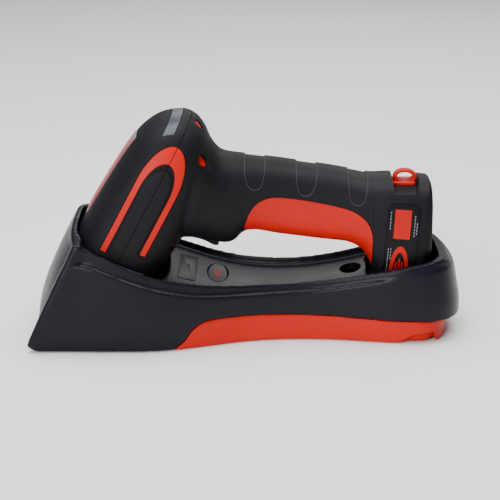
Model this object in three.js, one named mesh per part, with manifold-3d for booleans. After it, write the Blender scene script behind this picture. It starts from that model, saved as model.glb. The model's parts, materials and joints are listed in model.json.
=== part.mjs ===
// Cordless pistol-grip barcode scanner lying in its charging cradle.
// Units are millimetres and +Z is up. The cradle runs along X with its nose cup at -X,
// the object is symmetric about the plane Y = 0, and the feet stand on Z = 0.
import * as THREE from "three";
import { mergeVertices } from "three/addons/utils/BufferGeometryUtils.js";
import Module from "manifold-3d";

const wasm = await Module();
wasm.setup();

// ---------------------------------------------------------------- driving dimensions
const WALL = 2.6; // moulded wall thickness
const GAP = 0.3; // clearance between neighbouring pieces
const SKIN = 1.6; // depth of the coloured inlays in the rubber skin
const FAR = 400; // larger than the object, for cutting volumes

const HEAD_TILT = THREE.MathUtils.degToRad(28); // aiming axis from the vertical, when docked
const HEAD_BACK = new THREE.Vector3(-32.4, 0, 130.8); // rearmost point of the head
const SHELL_FRONT = 111.7; // where the head shells stop and the bezel starts
const HEAD_LENGTH = 120;
const SEAM_X = 73.6; // joint between the grip and its end cap

// Head sections: distance from the back, half width, height above and below the parting plane.
const HEAD_SECTIONS = [
  [0, 8, 3.5, 4],
  [1.6, 15, 7, 7.5],
  [5, 22.5, 11.8, 12.8],
  [10, 28.5, 17, 18],
  [18, 33.5, 21.5, 22.5],
  [28, 36.5, 24.5, 25.5],
  [45, 38.4, 26.4, 27.5],
  [70, 39, 28, 28.6],
  [86, 39, 28.6, 26.5],
  [104, 38.5, 28.4, 24.5],
  [116, 37.6, 27.6, 23.6],
  [HEAD_LENGTH, 36.4, 26.6, 22.8],
];
// Handle sections: X of the top, top, X of the bottom, bottom, half width. The first ones lean
// with the head, so that the neck leaves it along its underside.
const HANDLE_SECTIONS = [
  [-27, 121, -47, 58, 30],
  [-22, 116.4, -37.4, 57.5, 30],
  [-18.2, 111, -30, 57, 27.4],
  [-14.8, 108.4, -22.6, 55.6, 25.2],
  [-10.6, 107.4, -13.6, 53.4, 23.7],
  [-7, 107, -8.4, 54.4, 22.8],
  [-4.6, 106.7, -5.2, 57.2, 22.2],
  [-2, 106.4, -2, 60.4, 21.6],
  [5, 105.5, 5, 61, 20.7],
  [18, 103.9, 18, 58.8, 20.2],
  [32, 101.8, 32, 57, 20],
  [46, 99.8, 46, 55.3, 20.3],
  [59.2, 97.3, 59.2, 53.9, 21.5],
  [65, 96.2, 65, 51.6, 22.5],
  [69.2, 95.2, 69.2, 48.2, 23.4],
  [72.2, 94.7, 72.2, 43.2, 24],
  [76, 94.4, 76, 35.2, 24.8],
  [81, 94.5, 81, 30.4, 25.3],
  [97, 94, 97, 30, 25.5],
  [102.6, 93, 102.6, 34.5, 25],
  [106.4, 91.6, 106.4, 43, 23.8],
  [108.4, 88.8, 108.4, 48, 21.6],
];

// Cradle rim: station along X, rim height, half width between the rims.
const RIM = [
  [-97, 63.5, 46.6],
  [-84, 57.2, 47.1],
  [-68, 49.9, 47],
  [-54, 44.9, 46],
  [-42, 41.6, 43.5],
  [-31, 38.9, 39.8],
  [-20, 36.8, 35.6],
  [-9, 35.4, 31.5],
  [3, 34.6, 27.9],
  [17, 34.4, 25.5],
  [35, 35.5, 24.6],
  [53, 37.8, 25.5],
  [70, 40.9, 27.4],
  [88, 44.7, 29],
  [104, 48, 28.8],
  [114, 50, 27],
];
const CUP_TOP = 75; // height that the wall before the nose is drawn to, before it is cut to an arch
const WALL_ARCH = [[0, 71.2], [12, 70.8], [22, 69], [30, 67.4], [38, 65.6], [46, 63.6], [60, 62]];
const WALL_END = -95; // where that wall steps down to the rim
const DECK_DROP = 5; // from the rim down to the deck's edge
const DECK_CROWN = 1.8; // how much the deck's middle stands above its edges
const DECK_FRONT = -47;
const DECK_REAR = 71.5;
const FOOT_HEIGHT = 0.5;
const PLATE_TOP = 2.5; // top of the base plate
const SHELL_BOTTOM = 0.6;

// ---------------------------------------------------------------- solids and lofts
// A closed three.js geometry as a solid, with its faces turned outwards.
function toSolid(geometry) {
  const plain = (geometry.index ? geometry.toNonIndexed() : geometry.clone()).deleteAttribute("normal");
  plain.deleteAttribute("uv");
  const merged = mergeVertices(plain, 1e-4);
  const corners = merged.index.array;
  const kept = [];
  for (let i = 0; i < corners.length; i += 3) {
    const [a, b, c] = corners.slice(i, i + 3);
    if (a !== b && b !== c && c !== a) kept.push(a, b, c);
  }
  const triVerts = new Uint32Array(kept);
  const vertProperties = merged.attributes.position.array;
  const made = new wasm.Manifold(new wasm.Mesh({ numProp: 3, vertProperties, triVerts }));
  if (made.volume() >= 0) return made;
  for (let i = 0; i < triVerts.length; i += 3) {
    [triVerts[i + 1], triVerts[i + 2]] = [triVerts[i + 2], triVerts[i + 1]];
  }
  return new wasm.Manifold(new wasm.Mesh({ numProp: 3, vertProperties, triVerts }));
}

// A solid as a flat-shaded geometry.
function toGeometry(solid) {
  const mesh = solid.getMesh();
  const points = new Float32Array(mesh.numVert * 3);
  for (let i = 0; i < mesh.numVert; i++) {
    points.set(mesh.vertProperties.subarray(i * mesh.numProp, i * mesh.numProp + 3), i * 3);
  }
  const geometry = new THREE.BufferGeometry();
  geometry.setAttribute("position", new THREE.BufferAttribute(points, 3));
  geometry.setIndex(new THREE.BufferAttribute(mesh.triVerts, 1));
  const flat = geometry.toNonIndexed();
  flat.computeVertexNormals();
  return flat;
}

// Closed skin over rings of points, all with the same count, with a fan over each end.
function loft(rings) {
  const count = rings[0].length;
  const points = rings.flat();
  const middle = (ring) =>
    ring.reduce((sum, p) => sum.add(p), new THREE.Vector3()).divideScalar(count);
  points.push(middle(rings[0]), middle(rings[rings.length - 1]));
  const faces = [];
  for (let i = 0; i < count; i++) {
    const next = (i + 1) % count;
    for (let r = 0; r < rings.length - 1; r++) {
      const low = r * count;
      const high = low + count;
      faces.push(low + i, low + next, high + next, low + i, high + next, high + i);
    }
    const last = (rings.length - 1) * count;
    faces.push(points.length - 2, next, i, points.length - 1, last + i, last + next);
  }
  const geometry = new THREE.BufferGeometry().setFromPoints(points);
  geometry.setIndex(faces);
  return toSolid(geometry);
}

// Superellipse factor pairs (across, up) round one section, squarer as power grows.
function roundSection(count, power) {
  return Array.from({ length: count }, (_, i) => {
    const angle = (2 * Math.PI * (i + 0.5)) / count;
    const shape = (v) => Math.sign(v) * Math.abs(v) ** (2 / power);
    return [shape(Math.cos(angle)), shape(Math.sin(angle))];
  });
}

// Straight-line interpolation in a table whose rows start with the station.
function lookUp(table, station, column) {
  const last = table.length - 1;
  if (station <= table[0][0]) return table[0][column];
  if (station >= table[last][0]) return table[last][column];
  const i = table.findIndex((row) => row[0] >= station);
  const [a, b] = [table[i - 1], table[i]];
  return a[column] + ((station - a[0]) / (b[0] - a[0])) * (b[column] - a[column]);
}

// An outline in the XZ plane, extruded along Y between two values.
function sidePrism(outline, yFrom, yTo) {
  const isShape = outline instanceof THREE.Shape;
  const shape = isShape ? outline : new THREE.Shape(outline.map(([x, z]) => new THREE.Vector2(x, z)));
  const options = { depth: yTo - yFrom, bevelEnabled: false, curveSegments: 5 };
  const geometry = new THREE.ExtrudeGeometry(shape, options);
  geometry.rotateX(Math.PI / 2);
  geometry.translate(0, yTo, 0);
  return toSolid(geometry);
}

// An outline in the YZ plane, extruded along X between two values.
function frontPrism(outline, xFrom, xTo) {
  const shape = new THREE.Shape(outline.map(([y, z]) => new THREE.Vector2(y, z)));
  const geometry = new THREE.ExtrudeGeometry(shape, { depth: xTo - xFrom, bevelEnabled: false });
  geometry.rotateX(Math.PI / 2);
  geometry.rotateZ(Math.PI / 2);
  geometry.translate(xFrom, 0, 0);
  return toSolid(geometry);
}

function box(x0, x1, y0, y1, z0, z1) {
  const geometry = new THREE.BoxGeometry(x1 - x0, y1 - y0, z1 - z0);
  geometry.translate((x0 + x1) / 2, (y0 + y1) / 2, (z0 + z1) / 2);
  return toSolid(geometry);
}

// A cylinder along X, Y or Z, from one value to another on that axis.
function rod(axis, radius, from, to, at, sides = 20) {
  const geometry = new THREE.CylinderGeometry(radius, radius, to - from, sides);
  if (axis === "x") geometry.rotateZ(-Math.PI / 2);
  if (axis === "z") geometry.rotateX(Math.PI / 2);
  const middle = (from + to) / 2;
  const places = {
    x: [middle, at[0], at[1]],
    y: [at[0], middle, at[1]],
    z: [at[0], at[1], middle],
  };
  geometry.translate(...places[axis]);
  return toSolid(geometry);
}

// The largest of the loose bodies that a cut leaves.
function largestBody(solid) {
  return solid.decompose().sort((a, b) => b.volume() - a.volume())[0];
}

// ---------------------------------------------------------------- the head's own frame
// In it, x runs forward along the aiming axis, y across and z up from the parting plane.
const AIM = new THREE.Vector3(-Math.sin(HEAD_TILT), 0, -Math.cos(HEAD_TILT));
const UP = new THREE.Vector3(-Math.cos(HEAD_TILT), 0, Math.sin(HEAD_TILT));
const HEAD_FRAME = new THREE.Matrix4()
  .makeBasis(AIM, new THREE.Vector3(0, -1, 0), UP)
  .setPosition(HEAD_BACK);
const inHead = (solid) => solid.transform(HEAD_FRAME.elements);

const headPower = (s) => 2.35 + 0.85 * THREE.MathUtils.smoothstep(s, 0, 90);

// The head, taken in by inset all round, in the head's own frame.
function headLoft(inset, from = 0, to = HEAD_LENGTH, count = 28) {
  const rows = HEAD_SECTIONS.filter(([s, half]) => s > from && s < to && half - inset > 4);
  const at = (s) => [1, 2, 3].map((column) => lookUp(HEAD_SECTIONS, s, column));
  const ends = [
    [Math.max(from, inset), ...at(from)],
    [to, ...at(to)],
  ];
  if (from === 0 && inset > 0) ends[0] = [inset, 3 + inset, 2.5 + inset, 2.5 + inset];
  const stations = [ends[0], ...rows.filter(([s]) => s > ends[0][0] + 0.5), ends[1]];
  return loft(
    stations.map(([s, half, up, down]) =>
      roundSection(count, headPower(s)).map(
        ([across, rise]) =>
          new THREE.Vector3(s, across * (half - inset), rise * ((rise > 0 ? up : down) - inset)),
      ),
    ),
  );
}

// The neck, grip and end cap as one body, taken in by inset all round.
function handleLoft(inset, count = 24, every = 1) {
  const end = HANDLE_SECTIONS.length - 1;
  const rows = HANDLE_SECTIONS.filter((row, i) => i % every === 0 || i === end);
  return loft(
    rows.map(([xTop, top, xBottom, bottom, half], i) => {
      const back = i === rows.length - 1 ? inset : 0;
      const middle = (top + bottom) / 2;
      const rise = (top - bottom) / 2 - inset;
      const lean = (xTop - xBottom) / (top - bottom);
      return roundSection(count, xTop > SEAM_X ? 3 : 2.4).map(([across, up]) => {
        const x = (xTop + xBottom) / 2 - back + lean * up * rise;
        return new THREE.Vector3(x, across * (half - inset), middle + up * rise);
      });
    }),
  );
}

// ---------------------------------------------------------------- materials and the group
const MATERIALS = {
  rubber_black: new THREE.MeshStandardMaterial({ color: 0x2c2c31, roughness: 0.62, metalness: 0 }),
  shell_black: new THREE.MeshStandardMaterial({ color: 0x2a2b33, roughness: 0.5, metalness: 0 }),
  housing_red: new THREE.MeshStandardMaterial({ color: 0xd23d22, roughness: 0.5, metalness: 0 }),
  label_black: new THREE.MeshStandardMaterial({ color: 0x1a1a1e, roughness: 0.3, metalness: 0 }),
  light_pipe: new THREE.MeshStandardMaterial({ color: 0x8d9096, roughness: 0.3, metalness: 0 }),
  window_glass: new THREE.MeshStandardMaterial({ color: 0x30343a, roughness: 0.08, metalness: 0 }),
  lens_glass: new THREE.MeshStandardMaterial({ color: 0x5c6672, roughness: 0.1, metalness: 0 }),
  seal_rubber: new THREE.MeshStandardMaterial({ color: 0x161618, roughness: 0.8, metalness: 0 }),
  circuit_board: new THREE.MeshStandardMaterial({ color: 0x1c5a38, roughness: 0.5, metalness: 0 }),
  module_metal: new THREE.MeshStandardMaterial({ color: 0xa9abad, roughness: 0.35, metalness: 1 }),
  screw_steel: new THREE.MeshStandardMaterial({ color: 0x8a8c90, roughness: 0.3, metalness: 1 }),
  contact_gold: new THREE.MeshStandardMaterial({ color: 0xd0a545, roughness: 0.25, metalness: 1 }),
  cell_wrap: new THREE.MeshStandardMaterial({ color: 0x3f6ea5, roughness: 0.4, metalness: 0 }),
  nameplate_silver: new THREE.MeshStandardMaterial({ color: 0xb9babd, roughness: 0.35, metalness: 0 }),
};
const scanner = new THREE.Group();
const cradle = new THREE.Group();
const object = new THREE.Group();
object.add(cradle, scanner);

function addPiece(group, name, material, solid) {
  const mesh = new THREE.Mesh(toGeometry(solid), MATERIALS[material]);
  mesh.name = name;
  group.add(mesh);
}

// ---------------------------------------------------------------- scanner housing
const headOuter = headLoft(0);
const headInner = headLoft(WALL, 0, HEAD_LENGTH, 20);
const handleOuter = handleLoft(0);
const handleInner = handleLoft(WALL, 16, 3);
const bodyOuter = inHead(headOuter).add(handleOuter);
const bodyInner = inHead(headInner).add(handleInner);

// Slab of the head's own frame between two heights and two stations.
const headSlab = (up0, up1, s0 = -FAR, s1 = FAR, y0 = -FAR, y1 = FAR) =>
  box(s0, s1, y0, y1, up0, up1);

// The arched inlay: two legs along the head that meet in a round arch at the back.
const ARCH = {
  legOuter: 12.4,
  legInner: 8.6,
  backOuter: 15,
  backInner: 26.5,
  springOuter: 41,
  springInner: 44,
  upperEnd: 88,
  lowerEnd: 80,
};
function archPrism(grow, y0, y1) {
  const outer = ARCH.legOuter + grow;
  const inner = ARCH.legInner - grow;
  const outerRadius = ARCH.springOuter - ARCH.backOuter + grow;
  const innerRadius = ARCH.springInner - ARCH.backInner - grow;
  const [top, bottom] = [Math.PI / 2, 1.5 * Math.PI];
  const shape = new THREE.Shape();
  shape.moveTo(ARCH.upperEnd + grow, outer);
  shape.lineTo(ARCH.springOuter, outer);
  shape.absellipse(ARCH.springOuter, 0, outerRadius, outer, top, bottom, false, 0);
  shape.lineTo(ARCH.lowerEnd + grow, -outer);
  shape.lineTo(ARCH.lowerEnd + grow, -inner);
  shape.lineTo(ARCH.springInner, -inner);
  shape.absellipse(ARCH.springInner, 0, innerRadius, inner, bottom, top, true, 0);
  shape.lineTo(ARCH.upperEnd + grow, inner);
  return sidePrism(shape, y0, y1);
}
const inlayLayer = headOuter.subtract(headLoft(SKIN));
const archCut = archPrism(GAP, 15, FAR).add(archPrism(GAP, -FAR, -15)).subtract(headLoft(SKIN + GAP));

// The light band wraps the back of the head just above the parting plane.
const BAND = { low: 5.2, high: 10.6, halfWidth: 28, front: 16 };
const bandPiece = inlayLayer.intersect(
  headSlab(BAND.low, BAND.high, -FAR, BAND.front, -BAND.halfWidth, BAND.halfWidth),
);
const bandCut = headSlab(
  BAND.low - GAP, BAND.high + GAP, -FAR, BAND.front + GAP, -BAND.halfWidth - GAP, BAND.halfWidth + GAP,
).subtract(headLoft(SKIN + GAP));

// The name plate lies in a shallow recess along the top.
const PLATE = { back: 25, front: 80, halfWidth: 13, depth: 0.9 };
const nameplate = headOuter
  .subtract(headLoft(PLATE.depth))
  .intersect(headSlab(15, FAR, PLATE.back, PLATE.front, -PLATE.halfWidth, PLATE.halfWidth));
const nameplateCut = headSlab(
  15, FAR, PLATE.back - GAP, PLATE.front + GAP, -PLATE.halfWidth - GAP, PLATE.halfWidth + GAP,
).subtract(headLoft(PLATE.depth + GAP));

function buildHeadTop() {
  const shell = headOuter
    .subtract(headInner)
    .intersect(headSlab(GAP / 2, FAR, -FAR, SHELL_FRONT))
    .subtract(archCut)
    .subtract(bandCut)
    .subtract(nameplateCut);
  addPiece(scanner, "head_top_shell", "rubber_black", inHead(shell));
  addPiece(scanner, "status_light_band", "light_pipe", inHead(bandPiece));
  addPiece(scanner, "top_nameplate", "nameplate_silver", inHead(nameplate));
}

function buildArchInlays() {
  for (const [side, y0, y1] of [["left", 15, FAR], ["right", -FAR, -15]]) {
    const inlay = inlayLayer.intersect(archPrism(0, y0, y1));
    const upper = inlay.intersect(headSlab(GAP / 2, FAR));
    const lower = inlay.intersect(headSlab(-FAR, -GAP / 2));
    addPiece(scanner, `arch_inlay_${side}_upper`, "housing_red", inHead(upper));
    addPiece(scanner, `arch_inlay_${side}_lower`, "housing_red", inHead(lower));
  }
}

// Screw holes come up from under the head: station, offset from the middle, bottom of the bore.
const SCREW_HOLE_RADIUS = 3;
const SCREWS = { rear: [17, 24.5, -9], front: [69, 27, -12] };
const REAR_PLUG = { station: -0.8, y: 9.5, up: -6.2, size: 5.2 };

function screwHoles() {
  const holes = [];
  for (const [station, y, floor] of Object.values(SCREWS)) {
    for (const side of [-1, 1]) holes.push(rod("z", SCREW_HOLE_RADIUS, -60, floor, [station, side * y], 12));
  }
  return holes.reduce((all, hole) => all.add(hole));
}
// The boss of solid wall that each screw is driven into.
function screwBosses() {
  const bosses = [];
  for (const [station, y, floor] of Object.values(SCREWS)) {
    for (const side of [-1, 1]) {
      bosses.push(rod("z", SCREW_HOLE_RADIUS + 2, -60, floor + 2, [station, side * y], 12));
    }
  }
  return bosses.reduce((all, boss) => all.add(boss)).intersect(headLoft(1));
}
const rearPlug = (side, grow) => {
  const half = REAR_PLUG.size / 2 + grow;
  const y = side * REAR_PLUG.y;
  return box(-2, 3.2 + grow, y - half, y + half, REAR_PLUG.up - half, REAR_PLUG.up + half);
};

// Side outline of the red finger side of the grip.
const GRIP_PANEL = new THREE.Shape();
GRIP_PANEL.moveTo(-1.6, 20);
GRIP_PANEL.lineTo(-1.6, 66);
GRIP_PANEL.bezierCurveTo(0.4, 74.5, 3.5, 84.8, 17, 85);
GRIP_PANEL.bezierCurveTo(27, 84.6, 45, 81.4, 57, 78.5);
GRIP_PANEL.bezierCurveTo(68, 75.6, 73.2, 69.5, 73.2, 60);
GRIP_PANEL.lineTo(73.2, 20);

const TRIGGER = { x0: -31.6, x1: -16.6, half: 8, pivot: [-30.2, 59.2] };
function buildGripHousing() {
  const panel = sidePrism(GRIP_PANEL, -FAR, FAR);
  const grip = handleOuter.subtract(handleInner).intersect(box(-4, SEAM_X - GAP, -40, 40, 20, 120));
  const redPanel = grip.intersect(panel).subtract(inHead(headLoft(-GAP)));
  const panelCut = sidePrism(GRIP_PANEL, -FAR, FAR).intersect(box(-1.6 - GAP, FAR, -FAR, FAR, 20, 90));
  const slot = box(TRIGGER.x0 - 1.2, TRIGGER.x1 + 0.9, -TRIGGER.half - 0.6, TRIGGER.half + 0.6, 40, 68);
  const beforeSeam = box(-FAR, SEAM_X - GAP, -FAR, FAR, 0, FAR);
  const headSide = inHead(headSlab(-FAR, -GAP / 2, -FAR, SHELL_FRONT)).intersect(beforeSeam);
  const holes = screwHoles().add(rearPlug(1, GAP)).add(rearPlug(-1, GAP));
  const shell = bodyOuter
    .subtract(bodyInner)
    .add(inHead(screwBosses()))
    .intersect(headSide)
    .subtract(inHead(archCut))
    .subtract(inHead(holes))
    .subtract(panelCut)
    .subtract(slot)
    .subtract(rod("y", 1.25, -11.3, 11.3, TRIGGER.pivot, 16));
  const housing = largestBody(shell);
  addPiece(scanner, "grip_housing", "rubber_black", housing);
  const trimmed = largestBody(redPanel).intersect(box(-1.6, 73.2 - GAP, -FAR, FAR, 20, 84.6));
  addPiece(scanner, "red_grip_panel", "housing_red", trimmed.subtract(housing));
}

function buildScrews() {
  const headRadius = 2.5;
  for (const [place, [station, y, floor]] of Object.entries(SCREWS)) {
    for (const [side, sign] of [["left", 1], ["right", -1]]) {
      const head = rod("z", headRadius, floor - 1.8 - GAP, floor - GAP, [station, sign * y], 12);
      addPiece(scanner, `case_screw_${place}_${side}`, "screw_steel", inHead(head));
    }
  }
  for (const [side, sign] of [["left", 1], ["right", -1]]) {
    const plug = rearPlug(sign, 0).intersect(headLoft(1.2)).subtract(headLoft(WALL));
    addPiece(scanner, `rear_plug_${side}`, "housing_red", inHead(plug));
  }
}

// ---------------------------------------------------------------- scanner nose and engine
// A plate or ring across the nose: half width and heights above and below the parting plane.
function nosePlug(s0, s1, half, up, down) {
  const ring = (s) =>
    roundSection(24, 5).map(
      ([across, rise]) => new THREE.Vector3(s, across * half, rise * (rise > 0 ? up : down)),
    );
  return loft([ring(s0), ring(s1)]);
}

function buildNose() {
  const bezel = headLoft(0, SHELL_FRONT + GAP, HEAD_LENGTH)
    .subtract(nosePlug(100, 130, 28.5, 19, 15.5))
    .subtract(nosePlug(100, 115, 32, 22.2, 18.6));
  const gasket = nosePlug(112.4, 114.6, 31.7, 21.9, 18.3).subtract(nosePlug(100, 130, 30.6, 20.8, 17.2));
  addPiece(scanner, "nose_bezel", "rubber_black", inHead(bezel));
  addPiece(scanner, "window_gasket", "seal_rubber", inHead(gasket));
  addPiece(scanner, "nose_window", "window_glass", inHead(nosePlug(112.6, 114.5, 30.3, 20.5, 16.9)));
}

function buildEngine() {
  const lens = [0, -3];
  addPiece(scanner, "engine_chassis", "module_metal", inHead(box(86, 103.5, -18, 18, -13, 6)));
  addPiece(scanner, "sensor_board", "circuit_board", inHead(box(83.8, 85.5, -19.5, 19.5, -14, 6.4)));
  addPiece(scanner, "lens_barrel", "label_black", inHead(rod("x", 6, 103.8, 111.6, lens, 24)));
  for (const [side, y] of [["left", 12.2], ["right", -12.2]]) {
    const lamp = rod("x", 4.2, 103.8, 107.6, [y, -3], 20);
    addPiece(scanner, `illumination_led_${side}`, "lens_glass", inHead(lamp));
  }
  addPiece(scanner, "aimer_lens", "lens_glass", inHead(rod("x", 1.8, 103.8, 107, [7.4, 3.6], 16)));
}

// ---------------------------------------------------------------- scanner internals
function buildInternals() {
  addPiece(scanner, "main_board", "circuit_board", inHead(box(24, 95, -25, 25, 9, 10.6)));
  addPiece(scanner, "speaker", "module_metal", inHead(rod("z", 10, -13, -7.5, [32, 0], 28)));
  addPiece(scanner, "battery_cell", "cell_wrap", rod("x", 9.2, 12, 77, [0, 75], 24));
  addPiece(scanner, "battery_board", "circuit_board", box(78, 79.6, -10, 10, 64, 84));
  addPiece(scanner, "vibration_motor", "module_metal", rod("x", 3.4, 6, 18, [0, 95], 20));
  addPiece(scanner, "trigger_switch", "label_black", box(-24, -18, -3.2, 3.2, 63.6, 67.4));
}

function buildTrigger() {
  const outline = new THREE.Shape();
  outline.moveTo(-31.4, 57);
  outline.quadraticCurveTo(-27, 56.6, -22, 53.7);
  outline.quadraticCurveTo(-18.9, 51.8, -17.2, 52.6);
  outline.quadraticCurveTo(-16.5, 53.4, -16.7, 54.4);
  outline.lineTo(-17.2, 59.4);
  outline.lineTo(-20, 60.6);
  outline.lineTo(-29, 61.6);
  outline.absarc(...TRIGGER.pivot, 2.4, Math.PI / 2, Math.PI, false);
  const blade = sidePrism(outline, -TRIGGER.half, TRIGGER.half);
  const bore = rod("y", 1.05, -20, 20, TRIGGER.pivot, 16);
  addPiece(scanner, "trigger", "rubber_black", blade.subtract(bore));
  addPiece(scanner, "trigger_pin", "screw_steel", rod("y", 0.95, -11, 11, TRIGGER.pivot, 16));
}

// ---------------------------------------------------------------- handle end cap
const LABEL = { x: 90.3, z: 58.5, wide: 18.4, tall: 47, corner: 5, lean: 0.07 };
function labelPrism(grow) {
  const [w, h, r] = [LABEL.wide / 2 + grow, LABEL.tall / 2 + grow, LABEL.corner + grow];
  const shape = new THREE.Shape();
  shape.moveTo(-w + r, -h);
  shape.lineTo(w - r, -h);
  shape.absarc(w - r, -h + r, r, -Math.PI / 2, 0, false);
  shape.absarc(w - r, h - r, r, 0, Math.PI / 2, false);
  shape.absarc(-w + r, h - r, r, Math.PI / 2, Math.PI, false);
  shape.absarc(-w + r, -h + r, r, Math.PI, 1.5 * Math.PI, false);
  const place = new THREE.Matrix4().makeRotationY(LABEL.lean).setPosition(LABEL.x, 0, LABEL.z);
  return sidePrism(shape, -FAR, FAR).transform(place.elements);
}

const LOOP = { x: 93.1, z: 93.2, half: 3.2, holeWide: 4.6, holeTall: 2.6 };
const LOOP_NOTCH = [[84.2, 100], [85.4, 89], [98.2, 89], [101, 92.8], [101, 100]];
const LOOP_FLOOR = 90.6;
function buildEndCap() {
  const side = (z0, z1, x0 = 0, x1 = 200) => box(x0, x1, -FAR, FAR, z0, z1);
  const capOuter = handleOuter.intersect(side(0, FAR, SEAM_X));
  const notch = sidePrism(LOOP_NOTCH, -FAR, FAR);
  const cap = capOuter
    .subtract(handleInner.intersect(side(0, LOOP_FLOOR - 5)))
    .subtract(notch)
    .subtract(labelPrism(GAP).subtract(handleLoft(1 + GAP)))
    .subtract(box(84, 100, -9.6, 9.6, 20, 34.5))
    .subtract(rod("x", 3, 104, 120, [0, 70], 20));
  addPiece(scanner, "handle_end_cap", "rubber_black", cap);

  const saddleOutline = LOOP_NOTCH.map(([x, z]) => [x + (x < LOOP.x ? GAP : -GAP), z + GAP]);
  const saddle = capOuter.intersect(sidePrism(saddleOutline, -FAR, FAR)).intersect(side(0, LOOP_FLOOR));
  const arch = new THREE.Shape();
  arch.moveTo(86.5, 90);
  arch.lineTo(86.2, 92.5);
  arch.bezierCurveTo(86.6, 96, 89.6, 97.5, 93, 97.5);
  arch.bezierCurveTo(96.6, 97.5, 99.6, 96, 100.6, 92.6);
  arch.lineTo(98.8, 90);
  const hole = new THREE.Path();
  hole.absellipse(LOOP.x, LOOP.z, LOOP.holeWide, LOOP.holeTall, 0, 2 * Math.PI, false, 0);
  arch.holes.push(hole);
  const loop = saddle.add(sidePrism(arch, -LOOP.half, LOOP.half));
  addPiece(scanner, "lanyard_loop", "housing_red", loop);

  const plate = capOuter.subtract(handleLoft(1)).intersect(labelPrism(0));
  addPiece(scanner, "label_plate_left", "label_black", plate.intersect(box(0, 200, 5, 60, 0, 200)));
  addPiece(scanner, "label_plate_right", "label_black", plate.intersect(box(0, 200, -60, -5, 0, 200)));
  const pads = [-6.6, -2.2, 2.2, 6.6].map((y) => box(87, 95, y - 1.4, y + 1.4, 30.2, 32.4));
  const comb = pads.reduce((all, pad) => all.add(pad), box(85, 99, -9.2, 9.2, 32, 34.1));
  addPiece(scanner, "charge_pads", "contact_gold", comb);
  const screw = rod("x", 2.6, 104.6, 108.4, [0, 70], 20).subtract(box(107.4, 120, -2, 2, 69.6, 70.4));
  addPiece(scanner, "battery_screw", "screw_steel", screw);
}

// ---------------------------------------------------------------- cradle outline
const rimHeight = (x) => lookUp(RIM, x, 1);
const rimHalf = (x) => lookUp(RIM, x, 2);
const deckEdge = (x) => rimHeight(x) - DECK_DROP;

// Levels of the outline: height, how far the sides stand inside the widest line, rear end,
// front edge of the side cheeks, middle of the front face.
const LEVELS = [
  [0.3, 1.6, 125.4, -122, -117],
  [3.6, 0.8, 126.4, -127.6, -119],
  [14, 0, 127.6, -123.7, -121.2],
  [22, 0, 127.4, -119.8, -122.8],
  [30, 0.6, 126, -115.9, -121],
  [44, 2, 123.4, -109.1, -115.4],
  [62, 4.2, 120.4, -100.3, -106.6],
  [69, 4.6, 119.8, -98.5, -102.6],
  [CUP_TOP + 2, 5, 119, -97.3, -99.4],
];
// Widest half width of the outline.
const bellyHalf = (x) => rimHalf(x) + 4.8 + 2.4 * THREE.MathUtils.smoothstep(x, 40, 98);
const TAIL_START = 101; // where the sides start to round into the rear

// One level outline of the cradle, taken in by inset.
function cradleLevel([z, sideInset, rear, cheekFront, frontMiddle], inset) {
  const front = cheekFront + inset;
  const [rimStart, rimLength] = [-97, 205];
  const shares = RIM.map(([x]) => (x - rimStart) / rimLength + 0.06);
  const sides = [0, 0.04, ...shares.filter((v) => v < 0.97), 1];
  const side = sides.map((v) => {
    const x = front + v * (TAIL_START - front);
    return [x, bellyHalf(x) - sideInset - inset];
  });
  side[0][1] -= 1;
  const endHalf = side[side.length - 1][1];
  const tail = [];
  for (let i = 0; i <= 6; i++) {
    const angle = (Math.PI / 2) * (i / 6);
    const shape = (v) => Math.abs(v) ** (2 / 2.4);
    const along = (rear - inset - TAIL_START) * shape(Math.sin(angle));
    tail.push([TAIL_START + along, endHalf * shape(Math.cos(angle))]);
  }
  const nose = [];
  for (let i = 1; i <= 5; i++) {
    const share = 1 - i / 6;
    nose.push([front + (frontMiddle + inset - front) * (1 - share ** 2.4), share * side[0][1]]);
  }
  const half = [...nose.reverse(), ...side, ...tail.slice(1, -1)];
  const middleFront = [frontMiddle + inset, 0];
  const middleRear = [rear - inset, 0];
  const right = half.map(([x, y]) => [x, -y]).reverse();
  return [middleFront, ...half, middleRear, ...right].map(([x, y]) => new THREE.Vector3(x, y, z));
}
const cradleBody = (inset, levels = LEVELS) =>
  loft(levels.map((level) => cradleLevel(level, inset)));
const COARSE_LEVELS = LEVELS.filter(([z]) => [0.3, 22, 44].includes(z) || z > CUP_TOP);

// The line where the black shell meets the red base.
const BASE_LINE = [
  [-43, SHELL_BOTTOM],
  [-36.5, 5.6],
  [-33.4, 10],
  [-28.6, 14.4],
  [-22, 16.6],
  [-6, 17],
  [20, 16.6],
  [50, 15.6],
  [92, 14],
  [116, 13.6],
];

// The deck trough between the rims, as a volume that reaches from the deck upwards.
function deckTrough(lower, narrower) {
  const between = RIM.map(([x]) => x).filter((x) => x > -45 && x < 72);
  const stations = [DECK_FRONT - 12, ...between, DECK_REAR + 6];
  return loft(
    stations.map((x) => {
      const half = rimHalf(x) - narrower;
      const z = deckEdge(x) - lower;
      return [
        [-half, 120], [-half, z], [-half * 0.6, z + DECK_CROWN * 0.64], [0, z + DECK_CROWN],
        [half * 0.6, z + DECK_CROWN * 0.64], [half, z], [half, 120],
      ].map(([y, up]) => new THREE.Vector3(x, y, up));
    }),
  );
}

// The pocket for the scanner's nose, along the aiming axis.
function nosePocket(grow) {
  const ring = (s, half, up, down) =>
    roundSection(24, 3.4).map(
      ([across, rise]) =>
        new THREE.Vector3(s, across * (half + grow), rise * ((rise > 0 ? up : down) + grow)),
    );
  const pocket = loft([
    ring(122.6 + grow, 43, 29.4, 27.5),
    ring(116 + grow, 44.4, 30, 29.4),
    ring(90, 45.4, 30.2, 30.4),
    ring(-30, 45.4, 30.2, 30.4),
  ]);
  return inHead(pocket);
}

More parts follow.
